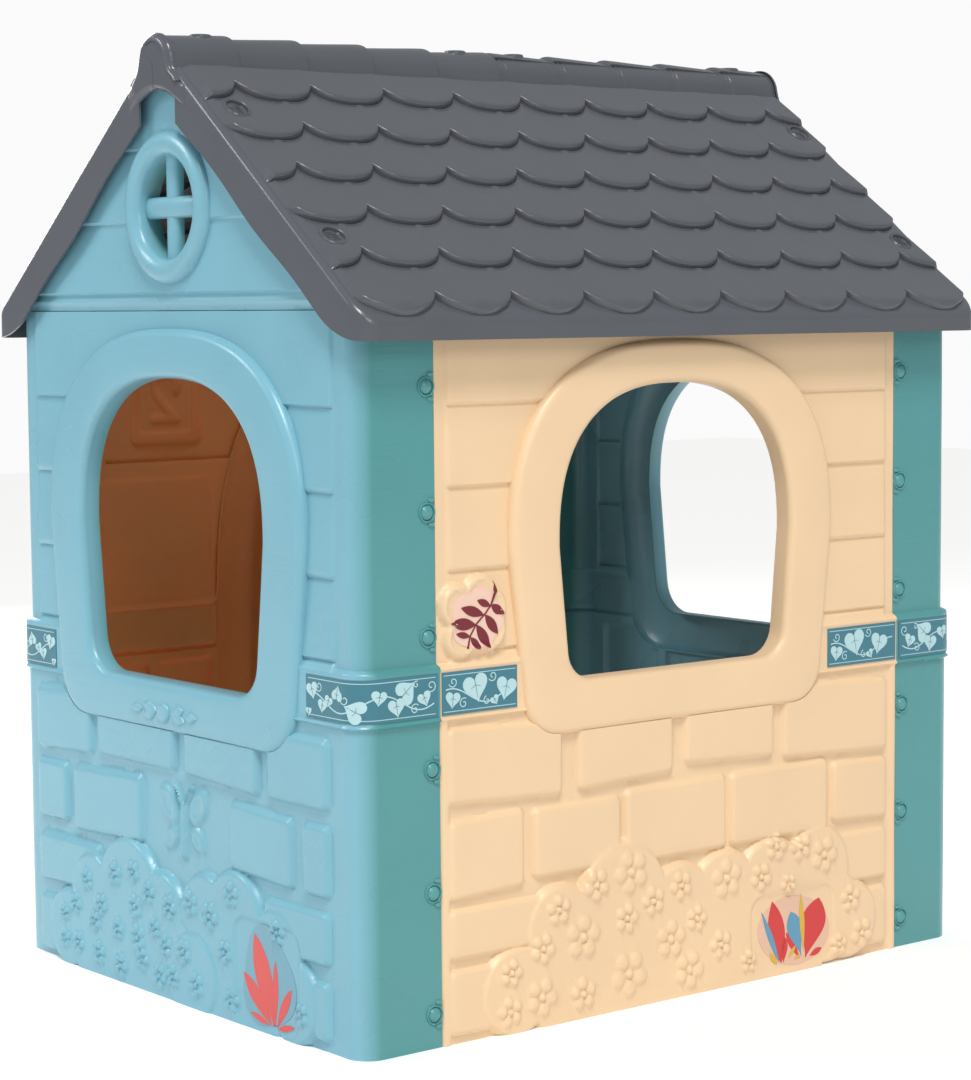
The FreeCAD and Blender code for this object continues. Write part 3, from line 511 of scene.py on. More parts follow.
def long_height(u, z):
    relief = brick_relief(u, z, LONG_BRICKS)
    relief = np.maximum(relief, raised(discs_d(u, z, LONG_BUSH), 9.0, 7))
    relief = sunk(relief, box_d(u, z, 101, 237, 8, 97, 18), 2.0)
    relief = side_ribs(u, flower_relief(u, z, relief, LONG_FLOWERS))
    h = wall_height(u, z, relief, (425, 513, 601, 690), 338)
    plaque = discs_d(u, z, PLAQUE)
    h = np.maximum(h, -STEP + raised(plaque, 9.5, 6) - raised(plaque + 8, 2.0, 3))
    return h + speckle(u, z) * 0.5


NUMBER = (243.5, 679.0)
PANEL = (260.0, 497.0)
FRONT_BRICKS = [(-345, -178, 262, 342, 0), (-345, -282, 165, 248, 0), (-345, -190, 86, 150, 0),
                (-345, -262, 8, 72, 0), (178, 262, 262, 342, 0), (274, 334, 262, 342, 0),
                (178, 232, 165, 248, 0), (244, 334, 165, 248, 0), (178, 290, 86, 150, 0),
                (302, 334, 86, 150, 0), (178, 236, 8, 72, 0), (248, 334, 8, 72, 0)]


def front_height(u, z):
    relief = side_ribs(u, brick_relief(u, z, FRONT_BRICKS))
    h = wall_height(u, z, relief, (600,), 338)
    h = np.maximum(h, -STEP + raised(centred_d(u, z, NUMBER, 56, 64, 14), 7.5, 6))
    recess = centred_d(u, z, NUMBER, 41, 46, 9)
    h = h - raised(recess, 4.0, 4)
    digit = digit_relief(u - NUMBER[0], z - NUMBER[1])
    h = np.maximum(h, -STEP + 3.5 + np.where(recess < -2, digit, -9))
    h = np.maximum(h, -STEP + raised(centred_d(u, z, PANEL, 83, 81, 10), 4.5, 5))
    return h + speckle(u, z) * 0.5


def digit_line():
    line = [(-17, 15)]
    for k in range(13):
        angle = math.radians(200 - 20 * k)
        line.append((17 * math.cos(angle), 14 + 17 * math.sin(angle)))
    return np.array(line + [(4, -8), (-16, -28), (19, -28)], float)


def digit_relief(u, z):
    """A plain round-ended figure two."""
    line = digit_line()
    d = np.full(u.shape, 1e9)
    for p, q in zip(line[:-1], line[1:]):
        d = np.minimum(d, line_d(u, z, p, q, 6.5))
    return raised(d, 3.5, 4)


# ---- walls ---------------------------------------------------------------------------------
def gable_surface(s, z):
    _, normals = gable_base(s)
    inside = np.abs(s) < WALL_Y - CORNER_R
    h = gable_height(np.where(inside, s, np.sign(s) * 400), z)
    points = gable_wrap(s, z, h)
    return points, np.concatenate((normals, np.zeros((len(s), 1))), 1)


def ring_foot(z):
    return base_profile(z) - 2.6


def wall_with_hole(name, grid, surface, window, surround, ring_name, place, turn=0):
    """A wall's skin, and the surround that stands in the hole left in it."""
    hole = arch_outline(surround, -2.0)
    if surround["low"] == 0:
        hole[:, 1] = np.where(hole[:, 1] < 5, -20, hole[:, 1])
    return [skin(name, grid, surface, [(hole, 1)], turn),
            swept_ring(ring_name, arch_outline(window), arch_outline(surround),
                       surround_profile(), place, turn)]


def make_walls():
    """Skins and surrounds of the four walls, by wall."""
    gable = wall_with_hole("near_gable_skin", wall_grid(WRAP_S, SEAM_Z - 0.4), gable_surface,
                           GABLE_WINDOW, GABLE_SURROUND, "near_gable_window_surround",
                           gable_wrap, NEAR)
    long_grid = wall_grid(WRAP_END - 0.6, LONG_TOP)
    return {"near_gable": gable,
            "far_gable": [far_twin(o) for o in gable],
            "window_wall": wall_with_hole("window_wall_skin", long_grid,
                                          relief_on(flat_wall, long_height), LONG_WINDOW,
                                          LONG_SURROUND, "long_window_surround", flat_wall),
            "front_wall": wall_with_hole("front_wall_skin", long_grid,
                                         relief_on(flat_wall, front_height), DOORWAY,
                                         DOOR_SURROUND, "doorway_surround", flat_wall, FRONT)}


# ---- gable tops ----------------------------------------------------------------------------
OCULUS_Z = 906.0


def top_height(u, z):
    h = np.full(u.shape, -STEP)
    h += raised(np.abs(z - 801) - 4.5, 3.0, 4.5)
    h += plank_relief(u, z, (890, 973), 811, 1063, 400) * 0.9
    arc = np.abs(np.hypot(u, z - 950) - 46) - 1.6
    return np.where(z > 970, h + raised(arc, 1.5, 1.6), h) + speckle(u, z) * 0.4


def make_gable_top():
    wide, under, foot = WALL_Y - STEP, APEX_Z - 5.5, SEAM_Z + 0.4
    outline = np.array([(-wide, foot), (wide, foot), (wide, under - RISE * wide),
                        (30, under - RISE * 30), (-30, under - RISE * 30),
                        (-wide, under - RISE * wide)])
    grid = np.meshgrid(spread(-wide, wide, GRID), spread(foot, under - 20, GRID), indexing="ij")
    panel = skin("near_gable_top_skin", grid, relief_on(gable_flat, top_height),
                 [(outline, -1), (circle(84, OCULUS_Z), 1)], NEAR)
    profile = [(0, 0, -27)]
    for k in range(13):
        angle = math.pi * k / 12
        profile.append((0.5 - 0.5 * math.cos(angle), 0, -3 + 11 * math.sin(angle)))
    profile += [(1, 0, -7.5), (1, -3, -7.5), (0.75, 0, 2.5), (0.25, 0, 2.5), (0, 3, -27)]
    ring = swept_ring("near_round_window_ring", circle(58, OCULUS_Z), circle(86, OCULUS_Z),
                      profile, gable_flat, NEAR)
    return [panel, ring, bar("near_round_window_upright", -7.0, 0.0, 0),
            bar("near_round_window_rail", -10.0, 5.5, 90)]


def bar(name, h, bow, turn):
    """Rounded glazing bar across the round window, bowed outwards by bow."""
    reach, half, rows = 60, 12, 17
    section = [(-half, -9), (-half, -2), (-half * 0.75, 0.8), (-half * 0.35, 1.9), (0, 2.2),
               (half * 0.35, 1.9), (half * 0.75, 0.8), (half, -2), (half, -9)]
    c, s = math.cos(math.radians(turn)), math.sin(math.radians(turn))
    points = []
    for along in np.linspace(-reach, reach, rows):
        lift = bow * (1 - (along / reach) ** 2)
        for across, up in section:
            u, z = across * c - along * s, across * s + along * c
            points.append((u, -WALL_X - h - up - lift, OCULUS_Z + z))
    return mesh_object(name, points, capped(rows, len(section)), NEAR)


# ---- roof ----------------------------------------------------------------------------------
EDGE_R = 8.0            # rounding of the roof's upper edge
FASCIA = 36.0           # length of the fascia on the roof's grid
PLAN_R = 24.0           # its corners seen from above
TILE_PITCH, TILE_COURSE, TILE_DIP = 102.3, 75.2, 29.0
TILE_LIFT = 10.5        # height of a tile's lower edge
TILE_ROUND = 4.5        # rounding of that edge
TILES_START = 4.5       # the first course starts this far up the slope
FIELD_X = TILE_PITCH * 4.5      # half width of the tiled field
SLOPE_TOP = (ROOF_Y - 38) / COS # the slope ends here, below the ridge capping
INNER_X, CORNER = ROOF_X - EDGE_R, PLAN_R - EDGE_R
COURSES = 6
SLOPE_SCREWS = [(x, y) for x in (-433.0, 433.0) for y in (105.0, 284.0)]


def across_tile(x, course):
    """Place across a tile of this course, from -1 at one cusp to 1 at the next."""
    place = x / TILE_PITCH + 0.5 * ((course + 1) % 2)
    return (place - np.floor(place) - 0.5) * 2


def tile_edge(x, course):
    """Distance up the slope of a course's lower edge."""
    v = across_tile(x, course)
    dip = TILE_DIP * (1 - np.sqrt(1 - 0.97 * v * v)) / (1 - math.sqrt(0.03))
    return TILES_START + TILE_COURSE * course + dip


def tile_rows():
    """Grid rows as (course, share of the way to the next course, distance past the edge)."""
    rows = [(-1, t, 0.0) for t in np.linspace(0.0, 0.96, 22)]
    for course in range(COURSES):
        rows.append((course, 0.0, -0.25))
        for k in range(5):
            angle = math.pi / 2 * k / 4
            rows.append((course, 0.0, 0.25 + TILE_ROUND * (1 - math.cos(angle))))
        rows += [(course, t, 0.0) for t in (0.16, 0.28, 0.42, 0.56, 0.7, 0.84, 0.95)]
    return rows


def tile_height(x, course, up):
    """Height of a course's tiles, this far up from their rounded lower edge."""
    v = across_tile(x, course)
    t = np.clip(up / TILE_ROUND, 0, 1)
    left = 1 - 0.92 * (up / (TILE_COURSE + TILE_DIP))
    full = TILE_LIFT * (1 - 0.22 * v * v) * left
    return full * (0.35 + 0.65 * np.sqrt(t * (2 - t)))


def roof_grid():
    """Grid that follows the tiles' edges: its two coordinates and the height above the slope."""
    reach = EDGE_R * math.pi / 2 + FASCIA
    inside = np.arange(-FIELD_X - 0.1, FIELD_X + 0.2, TILE_PITCH / 32)
    outside = np.concatenate((np.linspace(FIELD_X + 1.5, INNER_X, 3),
                              np.linspace(INNER_X, INNER_X + reach, 17)[1:]))
    columns = np.concatenate((-outside[::-1], inside, outside))
    low = (EDGE_R - reach) / COS
    qs, hs = [], []
    for course, share, past in tile_rows():
        below = low if course < 0 else tile_edge(columns, course)
        above = tile_edge(columns, course + 1) if course < COURSES - 1 else SLOPE_TOP
        q = below + (above - below) * share + past
        if course < 0:
            h = np.zeros_like(columns)
        elif past < 0:
            h = np.full_like(columns, TILE_LIFT * 0.08 if course else 0.0)
        else:
            h = tile_height(columns, course, np.maximum(q - below, 0))
        hs.append(h)
        qs.append(q)
    qs.append(np.full_like(columns, SLOPE_TOP))
    hs.append(np.zeros_like(columns))
    p = np.repeat(columns[:, None], len(qs), 1)
    side = smooth((FIELD_X - np.abs(columns)) / 6)
    return p, np.array(qs).T, np.array(hs).T * side[:, None]


def fascia_foot(y):
    """Height of the fascia's lower edge on the -Y half."""
    lower = 1030 + RISE * y
    lower = 757 + 12 * np.logaddexp(0, (lower - 757) / 12)
    return np.minimum(lower + 2.5 * np.sin(y / 24) * smooth((lower - 765) / 20), 1034)


def roof_base(p, q):
    """Points and normals of the plain slope with its rounded edges and fascias."""
    plan = q * COS
    ex, ey = np.abs(p) - INNER_X + CORNER, EDGE_R + CORNER - plan
    both = (ex > 0) & (ey > 0)
    length = np.maximum(np.hypot(ex, ey), 1e-6)
    past_x, past_y = np.maximum(np.abs(p) - INNER_X, 0), np.maximum(EDGE_R - plan, 0)
    reach = np.where(both, np.maximum(length - CORNER, 0), np.maximum(past_x, past_y))
    use = both & (length > CORNER)
    dx = np.where(use, np.sign(p) * ex / length, np.sign(p) * (past_x > 0))
    dy = np.where(use, -ey / length, -1.0 * ((past_y > 0) & ~both))
    cx = np.where(use, np.sign(p) * (INNER_X - CORNER) + dx * CORNER,
                  np.clip(p, -INNER_X, INNER_X))
    cy = np.where(use, EDGE_R + CORNER + dy * CORNER, np.maximum(plan, EDGE_R))
    angle = np.clip(reach / EDGE_R, 0, math.pi / 2)
    out = EDGE_R * np.sin(angle)
    x, y = cx + dx * out, cy + dy * out - ROOF_Y
    top = APEX_Z + RISE * y - EDGE_R * (1 - np.cos(angle))
    share = np.clip((reach - EDGE_R * math.pi / 2) / FASCIA, 0, 1)
    z = top + (fascia_foot(y) - top) * share
    normal = np.stack((dx * np.sin(angle), dy * np.sin(angle) - SIN * np.cos(angle),
                       COS * np.cos(angle)), 1)
    normal /= np.linalg.norm(normal, axis=1)[:, None]
    return np.stack((x, y, z), 1), normal, reach


def roof_outline():
    """Lower edge of the fascias on the roof's grid."""
    r = CORNER + EDGE_R * math.pi / 2 + FASCIA
    right = []
    for k in range(25):
        angle = math.pi / 2 * k / 24
        right.append((INNER_X - CORNER + r * math.sin(angle),
                      (EDGE_R + CORNER - r * math.cos(angle)) / COS))
    right.append((right[-1][0], SLOPE_TOP + 30))
    left = [(-x, y) for x, y in right[::-1]]
    return np.array(right + left)


def make_slope():
    p, q, h = roof_grid()
    height = h.ravel()

    def surface(a, b):
        points, normal, reach = roof_base(a, b)
        lift = height * smooth((13 - reach) / 9) + speckle(a, b) * 0.35
        for x, y in SLOPE_SCREWS:
            d = np.hypot(a - x, b - (ROOF_Y - y) / COS) - 14
            lift = lift + (2.6 - lift) * smooth(-d / 3)
        outer = points + normal * lift[:, None]
        outer[:, 1] = np.maximum(outer[:, 1], 0.2 - ROOF_Y)
        return outer, normal

    return skin("window_side_slope", (p, q), surface, [(roof_outline(), -1)], ratio=1)


RIDGE_TILE = 94.0       # length of one tile of the ridge capping
RIDGE_END = 474.0
PAST_CROWN = 7          # the capping ends this many points past its crown
RIDGE_SCREWS = (45.0, 410.0)


def ridge_section(shrink):
    """Half section of the ridge capping from its crown down to the slope, as (y, z)."""
    half, rise, crown = 34.0, 32.0, RIDGE_TOP - 32.0
    points = []
    for k in range(15):
        angle = math.radians(84) * k / 14
        points.append(((half - shrink) * math.sin(angle),
                       crown + (rise - shrink) * math.cos(angle)))
    points += [(y - shrink, z) for y, z in ((35.6, 1065), (37.2, 1060), (40, 1055.5),
                                           (44, 1052.2), (49, 1049.6), (55.5, 1043.0))]
    return points


def ridge_columns():
    """Places along x >= 0 and how far the capping shrinks there: a tile is proud at its end
    nearer the middle, where the next tile's low end meets it."""
    columns = []
    for k in range(5):
        start = k * RIDGE_TILE
        width = RIDGE_TILE if k < 4 else RIDGE_END - start - 2.5
        for share, drop in ((0.003, 2.4), (0.012, 1.0), (0.03, 0.25), (0.06, 0.0), (0.2, 0.5),
                            (0.4, 1.4), (0.6, 2.3), (0.8, 3.1), (0.95, 3.7), (0.994, 3.9)):
            columns.append((start + width * share, drop))
    columns += [(RIDGE_END - 1.5, 5.2), (RIDGE_END - 0.4, 7.5)]
    for x in RIDGE_SCREWS:
        columns += [(x + d, None) for d in (-12.5, -11.2, -9, -5, 0, 5, 9, 11.2, 12.5)]
    columns.sort()
    places = [x for x, _ in columns]
    known = [(x, drop) for x, drop in columns if drop is not None]
    drops = np.interp(places, [x for x, _ in known], [drop for _, drop in known])
    return places, drops


def make_ridge():
    """Capping over x > 0: it leaves the +Y slope, passes the crown and ends beyond it."""
    places, drops = ridge_columns()
    rows = []
    for x, drop in zip(places, drops):
        outer, inner = ridge_section(drop), ridge_section(drop + SKIN)
        line = outer[::-1] + [(-y, z) for y, z in outer[1:PAST_CROWN]]
        back = [(-y, z) for y, z in inner[1:PAST_CROWN]][::-1] + inner
        rows.append([(x, y, z) for y, z in line + back])
    return tube("door_side_ridge_capping", rows, screw_seats)


def make_flange():
    """Lower strip beside the capping over x > 0, on the window side, with paired lap marks."""
    rows = []
    for k in range(5):
        start = k * RIDGE_TILE
        width = RIDGE_TILE if k < 4 else RIDGE_END - start - 3
        for place, drop in ((0.5, 3.2), (4.0, 3.2), (5.0, 4.2), (6.5, 4.2), (7.5, 3.2),
                            (11.0, 3.2), (12.0, 4.3), (13.0, 4.3), (14.0, 3.4),
                            (width * 0.5, 3.9), (width - 0.5, 4.3)):
            outer, inner = ridge_section(drop)[5:], ridge_section(drop + SKIN)[5:]
            rows.append([(start + place, -y, z) for y, z in inner[::-1] + outer])
    return tube("window_side_ridge_flange", rows)


def tube(name, rows, change=None):
    """Closed solid swept through equal rows of points."""
    m = len(rows[0])
    points = np.array([p for row in rows for p in row], float)
    if change:
        points = change(points)
    faces = lofted(len(rows), m)
    for k, flip in ((0, 1), (len(rows) - 1, -1)):
        for j in range(m // 2 - 1):
            quad = (k * m + j, k * m + j + 1, k * m + m - 2 - j, k * m + m - 1 - j)
            faces.append(quad[::-flip])
    return mesh_object(name, points, faces, sharp=40)


def screw_seats(points):
    for x in RIDGE_SCREWS:
        near = np.hypot(points[:, 0] - x, points[:, 1]) < 11.6
        points[near & (points[:, 2] > RIDGE_TOP - 5), 2] = RIDGE_TOP - 3.4
    return points


def ridge_end_height(u, z, outline):
    """Rounded face with a moulded seam that divides at its top."""
    d, _ = signed(outline, u, z)
    h = raised(d, 4.6, 6) + 0.6 - 3.6 * smooth((np.abs(u) - 34) / 26)
    seam = np.minimum(line_d(u, z, (0, 1030), (0, 1062), 0.9),
                      line_d(u, z, (0, 1062), (-26, 1086), 0.9))
    return h - raised(seam, 1.2, 0.9)


def ridge_end_plate():
    """Rounded end face of the ridge over a gable, drawn facing -Y like the gables."""
    side = [(62, APEX_Z - RISE * 62 - 1), (64, 1030 - RISE * 64 + 14)]
    soffit = [(y, 1036 - 0.0088 * y * y * (1 - 0.002 * y)) for y in (52, 42, 32, 22, 12, 4)]
    right = ridge_section(1.0) + side + soffit
    outline = np.array(right + [(-y, z) for y, z in right[::-1][:-1]])
    surface = relief_on(facing(ROOF_X - 0.4), lambda u, z: ridge_end_height(u, z, outline))
    grids = np.meshgrid(np.linspace(-66, 66, 67), np.linspace(980, 1102, 62), indexing="ij")
    return skin("near_ridge_end", grids, surface, [(outline, -1)], NEAR, grid=2.0, ratio=1)


# ---- printed and moulded motifs ------------------------------------------------------------
def turned(points, centre, degrees):
    c, sn = math.cos(math.radians(degrees)), math.sin(math.radians(degrees))
    points = np.asarray(points, float)
    return np.stack((points[:, 0] * c - points[:, 1] * sn + centre[0],
                     points[:, 0] * sn + points[:, 1] * c + centre[1]), 1)


def leaf(cu, cz, length, width, turn, fat=1.0):
    """Outline from the stem point along turn degrees; fat above 1 moves its width outwards."""
    t = np.linspace(0, 1, 15)
    half = width / 2 * np.sin(math.pi * t ** fat) ** 0.85
    line = np.concatenate((np.stack((t, -half), 1), np.stack((t, half), 1)[-2:0:-1]))
    line[:, 0] *= length
    return turned(line, (cu, cz), turn)


def heart(cu, cz, size, turn):
    t = np.linspace(0, 2 * math.pi, 29)[:-1]
    x = 16 * np.sin(t) ** 3
    y = 13 * np.cos(t) - 5 * np.cos(2 * t) - 2 * np.cos(3 * t) - np.cos(4 * t) + 2.5
    return turned(np.stack((x, y), 1) * size / 16, (cu, cz), turn)


def blob(cu, cz, a, b, waves, depth, phase=0.0):
    t = np.linspace(0, 2 * math.pi, 61)[:-1]
    r = 1 + depth * np.cos(waves * t + phase)
    return np.stack((cu + a * r * np.cos(t), cz + b * r * np.sin(t)), 1)


def rounded(u0, u1, z0, z1, r):
    points = []
    for cu, cz, start in ((u1 - r, z0 + r, -90), (u1 - r, z1 - r, 0), (u0 + r, z1 - r, 90),
                          (u0 + r, z0 + r, 180)):
        for k in range(7):
            angle = math.radians(start + 15 * k)
            points.append((cu + r * math.cos(angle), cz + r * math.sin(angle)))
    return np.array(points)


def layered(rings, lifts, depth=0.9):
    """Closed pad from matching outlines, outermost first, each with its own lift."""
    x, y = rings[0].T
    if np.sum(x * np.roll(y, -1) - y * np.roll(x, -1)) < 0:
        rings = [ring[::-1] for ring in rings]
    n, m = len(rings[0]), len(rings)
    middle = rings[-1].mean(0)[None]
    flat = np.concatenate([rings[0]] + list(rings) + [middle, middle])
    lift = np.repeat([-depth] + list(lifts), n)
    lift = np.concatenate((lift, [lifts[-1], -depth]))
    faces = lofted(m + 1, n)
    top, low = (m + 1) * n, (m + 1) * n + 1
    for i in range(n):
        k = (i + 1) % n
        faces += [(m * n + i, m * n + k, top), (k, i, low)]
    return flat, lift, faces


def print_of(outline, lift=0.6, steps=4):
    """Thin flat print that follows the wall below it."""
    middle = outline.mean(0)
    rings = [middle + (outline - middle) * (1 - k / steps) for k in range(steps)]
    return layered(rings, [lift] * steps)


def pad_of(outline, rise, edge=0.25):
    """Moulded pad with a rounded edge."""
    middle = outline.mean(0)
    shares = [0.0, edge * 0.3, edge * 0.65, edge, 0.5, 0.75]
    rings = [middle + (outline - middle) * (1 - share) for share in shares]
    return layered(rings, [rise * v for v in (0.0, 0.62, 0.9, 1.0, 1.03, 1.04)], 2.0)


def ribbon(line, width, lift=0.6, depth=0.9, taper=0.0):
    """Flat strip along a line; taper narrows its far end."""
    line = np.asarray(line, float)
    way = np.gradient(line, axis=0)
    way /= np.maximum(np.hypot(*way.T), 1e-9)[:, None]
    side = np.stack((-way[:, 1], way[:, 0]), 1)
    half = width / 2 * (1 - taper * np.linspace(0, 1, len(line)))[:, None]
    right, left = line - side * half, line + side * half
    flat = np.stack((right, left, left, right), 1).reshape(-1, 2)
    high = np.tile((lift, lift, -depth, -depth), len(line))
    return flat, high, capped(len(line), 4)


def curl(u, z, r, start, sweep, count=22):
    """Spiral from its outer end inwards."""
    t = np.linspace(0, 1, count)
    angle = np.radians(start + sweep * t)
    radius = r * (1 - 0.8 * t)
    return np.stack((u + radius * np.cos(angle), z + radius * np.sin(angle)), 1)


def motif(name, parts, place, height, turn=0, mirror=1):
    """One object from several pads and ribbons, laid on height and put in place on its wall."""
    points, faces, start = [], [], 0
    for flat, lift, part_faces in parts:
        u, z = flat[:, 0] * mirror, flat[:, 1]
        points.append(place(u, z, height(u, z) + lift))
        faces += [tuple(i + start for i in f)[::mirror] for f in part_faces]
        start += len(flat)
    return mesh_object(name, np.concatenate(points), faces, turn, sharp=35)


BAND_Z = 382.0
VINE_LAYERS = ("plate", "leaves", "veins")
VINE_LEAVES = [(12, 6, 10, 15), (30, -9, 8, -8), (41, -3, 7, -20), (57, 8, 9, 168),
               (78, -9, 13, 245), (104, 3, 9, -10), (126, -9, 11, 8), (140, 9, 14, 130),
               (163, -3, 9, 20), (5, -17, 5, 0)]
SHORT_VINE_LEAVES = [(14, -8, 10, -8), (46, 2, 17, 12), (87, -2, 14, -14), (72, -13, 6, 30)]


def vine_parts(start, length, leaves, curls):
    """Leaves, veins, stem and tendrils of one printed vine, and the plate below them."""
    plate_line = np.stack((np.linspace(start, start + length, 48), np.full(48, BAND_Z)), 1)
    plate = [ribbon(plate_line, 46.0, 0.9)]
    pale, veins = [], []
    along = np.linspace(5, length - 6, 50)
    stem = np.stack((start + along, BAND_Z - 4 + 9 * np.sin(along / 15.5 + 0.8)), 1)
    pale.append(ribbon(stem, 1.4, 1.15, 0.2))
    for edge in (-19.5, 19.5):
        pale.append(ribbon(plate_line[1:-1] + (0, edge), 0.8, 1.1, 0.2))
    for u, z, size, turn in leaves:
        pale.append(print_of(heart(start + u, BAND_Z + z, size, turn), 1.4, 2))
        spine = turned([(0, size * 0.55), (0, 0), (0, -size * 0.6)], (start + u, BAND_Z + z), turn)
        veins.append(ribbon(spine, 0.8, 1.6, 0.1, 0.5))
        for side in (-1, 1):
            branch = turned([(0, size * 0.25), (side * size * 0.4, size * 0.1)],
                            (start + u, BAND_Z + z), turn)
            veins.append(ribbon(branch, 0.6, 1.6, 0.1, 0.5))
    for u, z, r, begin, sweep in curls:
        pale.append(ribbon(curl(start + u, BAND_Z + z, r, begin, sweep), 1.1, 1.15, 0.2))
    return plate, pale, veins


LONG_CURLS = [(24, 12, 6, 200, 420), (68, 2, 7, 120, 380), (150, -12, 6, 40, 430),
              (172, 11, 7, 220, 440), (152, 14, 4, 60, 400)]
SHORT_CURLS = [(15, 12, 6, 200, 430), (29, -12, 6, 60, 420), (69, 14, 6, 210, 430),
               (61, -12, 5, 100, 380)]


def make_vines(ink):
    """All the printed vines: on both gables' bands and on the long walls."""
    made = []
    for side, mirror in (("left", -1), ("right", 1)):
        sets = vine_parts(265, WRAP_S - 268, VINE_LEAVES, LONG_CURLS)
        for kind, parts in zip(VINE_LAYERS, sets):
            near = motif("near_%s_vine_%s" % (side, kind), parts, gable_wrap, band_height, NEAR,
                         mirror)
            made.append((near, ink[kind], "near_%s_vine_label" % side))
            made.append((far_twin(near), ink[kind], "far_%s_vine_label" % side))
    for name, start, length, turn, leaves, curls in (
            ("window_wall_left", -350, 103, 0, SHORT_VINE_LEAVES, SHORT_CURLS),
            ("window_wall_right", 232, 117, 0, SHORT_VINE_LEAVES, SHORT_CURLS),
            ("front_wall", 181, 168, FRONT, VINE_LEAVES[:9], LONG_CURLS[:3])):
        for kind, parts in zip(VINE_LAYERS, vine_parts(start, length, leaves, curls)):
            piece = motif(name + "_vine_" + kind, parts, flat_wall, band_height, turn)
            made.append((piece, ink[kind], name + "_vine_label"))
    return made


def band_height(u, z):
    return np.full(u.shape, 2.0) + speckle(u, z) * 0.5


def make_plants(ink):
    """Fan-shaped plant printed low on each gable."""
    fan = [(201, 10, 104, 31, 110, 1.25), (197, 10, 74, 19, 137, 1.25), (203, 10, 74, 11, 88, 1.2),
           (206, 10, 56, 13, 58, 1.2), (192, 10, 38, 7, 168, 1.0), (208, 9, 32, 7, 12, 1.0)]
    parts = [print_of(leaf(*values), 0.9) for values in fan]
    ground = [print_of(blob(190, 60, 50, 56, 3, 0.11, 0.8), 0.55, 9)]
    made = []
    for kind, shapes in (("ground", ground), ("fan", parts)):
        near = motif("near_plant_" + kind, shapes, gable_wrap, gable_height, NEAR)
        made += [(near, ink[kind], "near_plant_label"),
                 (far_twin(near), ink[kind], "far_plant_label")]
    return made


def make_petals(ink):
    """Coloured petals printed low on the window wall."""
    sets = (("petal_ground", "pink", [blob(171, 50, 62, 40, 2, 0.08, 2.2)]),
            ("petal_reds", "red", [leaf(150, 13, 78, 27, 101, 1.1), leaf(190, 13, 74, 40, 72, 1.5),
                                   leaf(153, 13, 31, 10, 82, 1.3), leaf(181, 14, 42, 10, 123, 1.4),
                                   leaf(197, 15, 22, 8, 18, 1.2)]),
            ("petal_blues", "blue", [leaf(146, 15, 70, 8, 114, 1.0),
                                     leaf(184, 16, 60, 24, 108, 1.7)]),
            ("petal_yellows", "yellow", [leaf(187, 22, 70, 8, 94, 1.2), leaf(143, 13, 20, 7, 128),
                                         leaf(162, 18, 18, 5, 48), leaf(171, 15, 12, 4, 20)]))
    made = []
    for k, (name, tone, outlines) in enumerate(sets):
        parts = [print_of(o, 0.5 + 0.12 * k if k else 0.45, 9 if k == 0 else 4) for o in outlines]
        made.append((motif(name, parts, flat_wall, long_height), ink[tone], "petal_label"))
    return made


SPRIG = [(-315, 428), (-312, 441), (-303, 454), (-291, 464), (-283, 473), (-278, 486)]
SPRIG_LEAVES = [(-312, 441, 19, 7, 168), (-311, 440, 19, 8, -48), (-304, 453, 34, 13, 174),
                (-303, 453, 32, 12, -56), (-293, 463, 32, 11, 163), (-291, 463, 28, 11, -52),
                (-284, 472, 19, 8, 158), (-283, 473, 20, 10, -33), (-278, 485, 13, 6, 84)]


def make_sprigs(ink):
    """Leaf sprigs on the plaque and on the door wall's panel, and the house number."""
    face = motif("plaque_face", [print_of(blob(-302, 459, 35, 33, 5, 0.05), 0.7, 8)], flat_wall,
                 long_height)
    parts = [ribbon(SPRIG, 1.6, 1.35)] + [print_of(leaf(*values), 1.3) for values in SPRIG_LEAVES]
    sprig = motif("plaque_sprig", parts, flat_wall, long_height)
    middle = np.array([(-297, 457)])
    big = [((flat - middle) * 1.9 + PANEL, lift, faces) for flat, lift, faces in parts]
    panel = motif("panel_sprig", big, flat_wall, front_height, FRONT)
    number = motif("number_print", [ribbon(digit_line() + NUMBER, 5.0, 0.6)], flat_wall,
                   front_height, FRONT)
    return [(face, ink["plaque"], "leaf_plaque_label"),
            (sprig, ink["maroon"], "leaf_plaque_label"),
            (panel, ink["sand"], "leaf_panel_label"), (number, ink["sand"], "house_number_label")]


def make_ornaments():
    """Plain moulded scroll below each gable window."""
    parts = [pad_of(blob(-10, 333, 12, 12, 1, 0.0), 3.6)]
    for side in (-1, 1):
        for start, length, width, turn in ((15, 30, 15, 14), (15, 30, 15, -14), (44, 26, 12, 0)):
            outline = leaf(0, 0, length, width, turn)
            outline[:, 0] = -10 + side * (outline[:, 0] + start)
            outline[:, 1] += 333
            parts.append(pad_of(outline, 3.0, 0.4))
    near = motif("near_surround_ornament", parts, gable_wrap,
                 lambda u, _: np.full(u.shape, FRONT_H + 0.3), NEAR)
    return near, far_twin(near)


# ---- fittings ------------------------------------------------------------------------------
PLUG_X = 362.5
PLUG_HEIGHTS = (37, 169, 302, 443, 576, 709)


def collar(u, z, radii, lifts):
    """Closed ring; radii and lifts go once round its section, from the outside in."""
    rings = [circle(r, z, 32) + (u, 0) for r in radii]
    return np.concatenate(rings), np.repeat(lifts, 32), lofted(len(rings), 32, True)


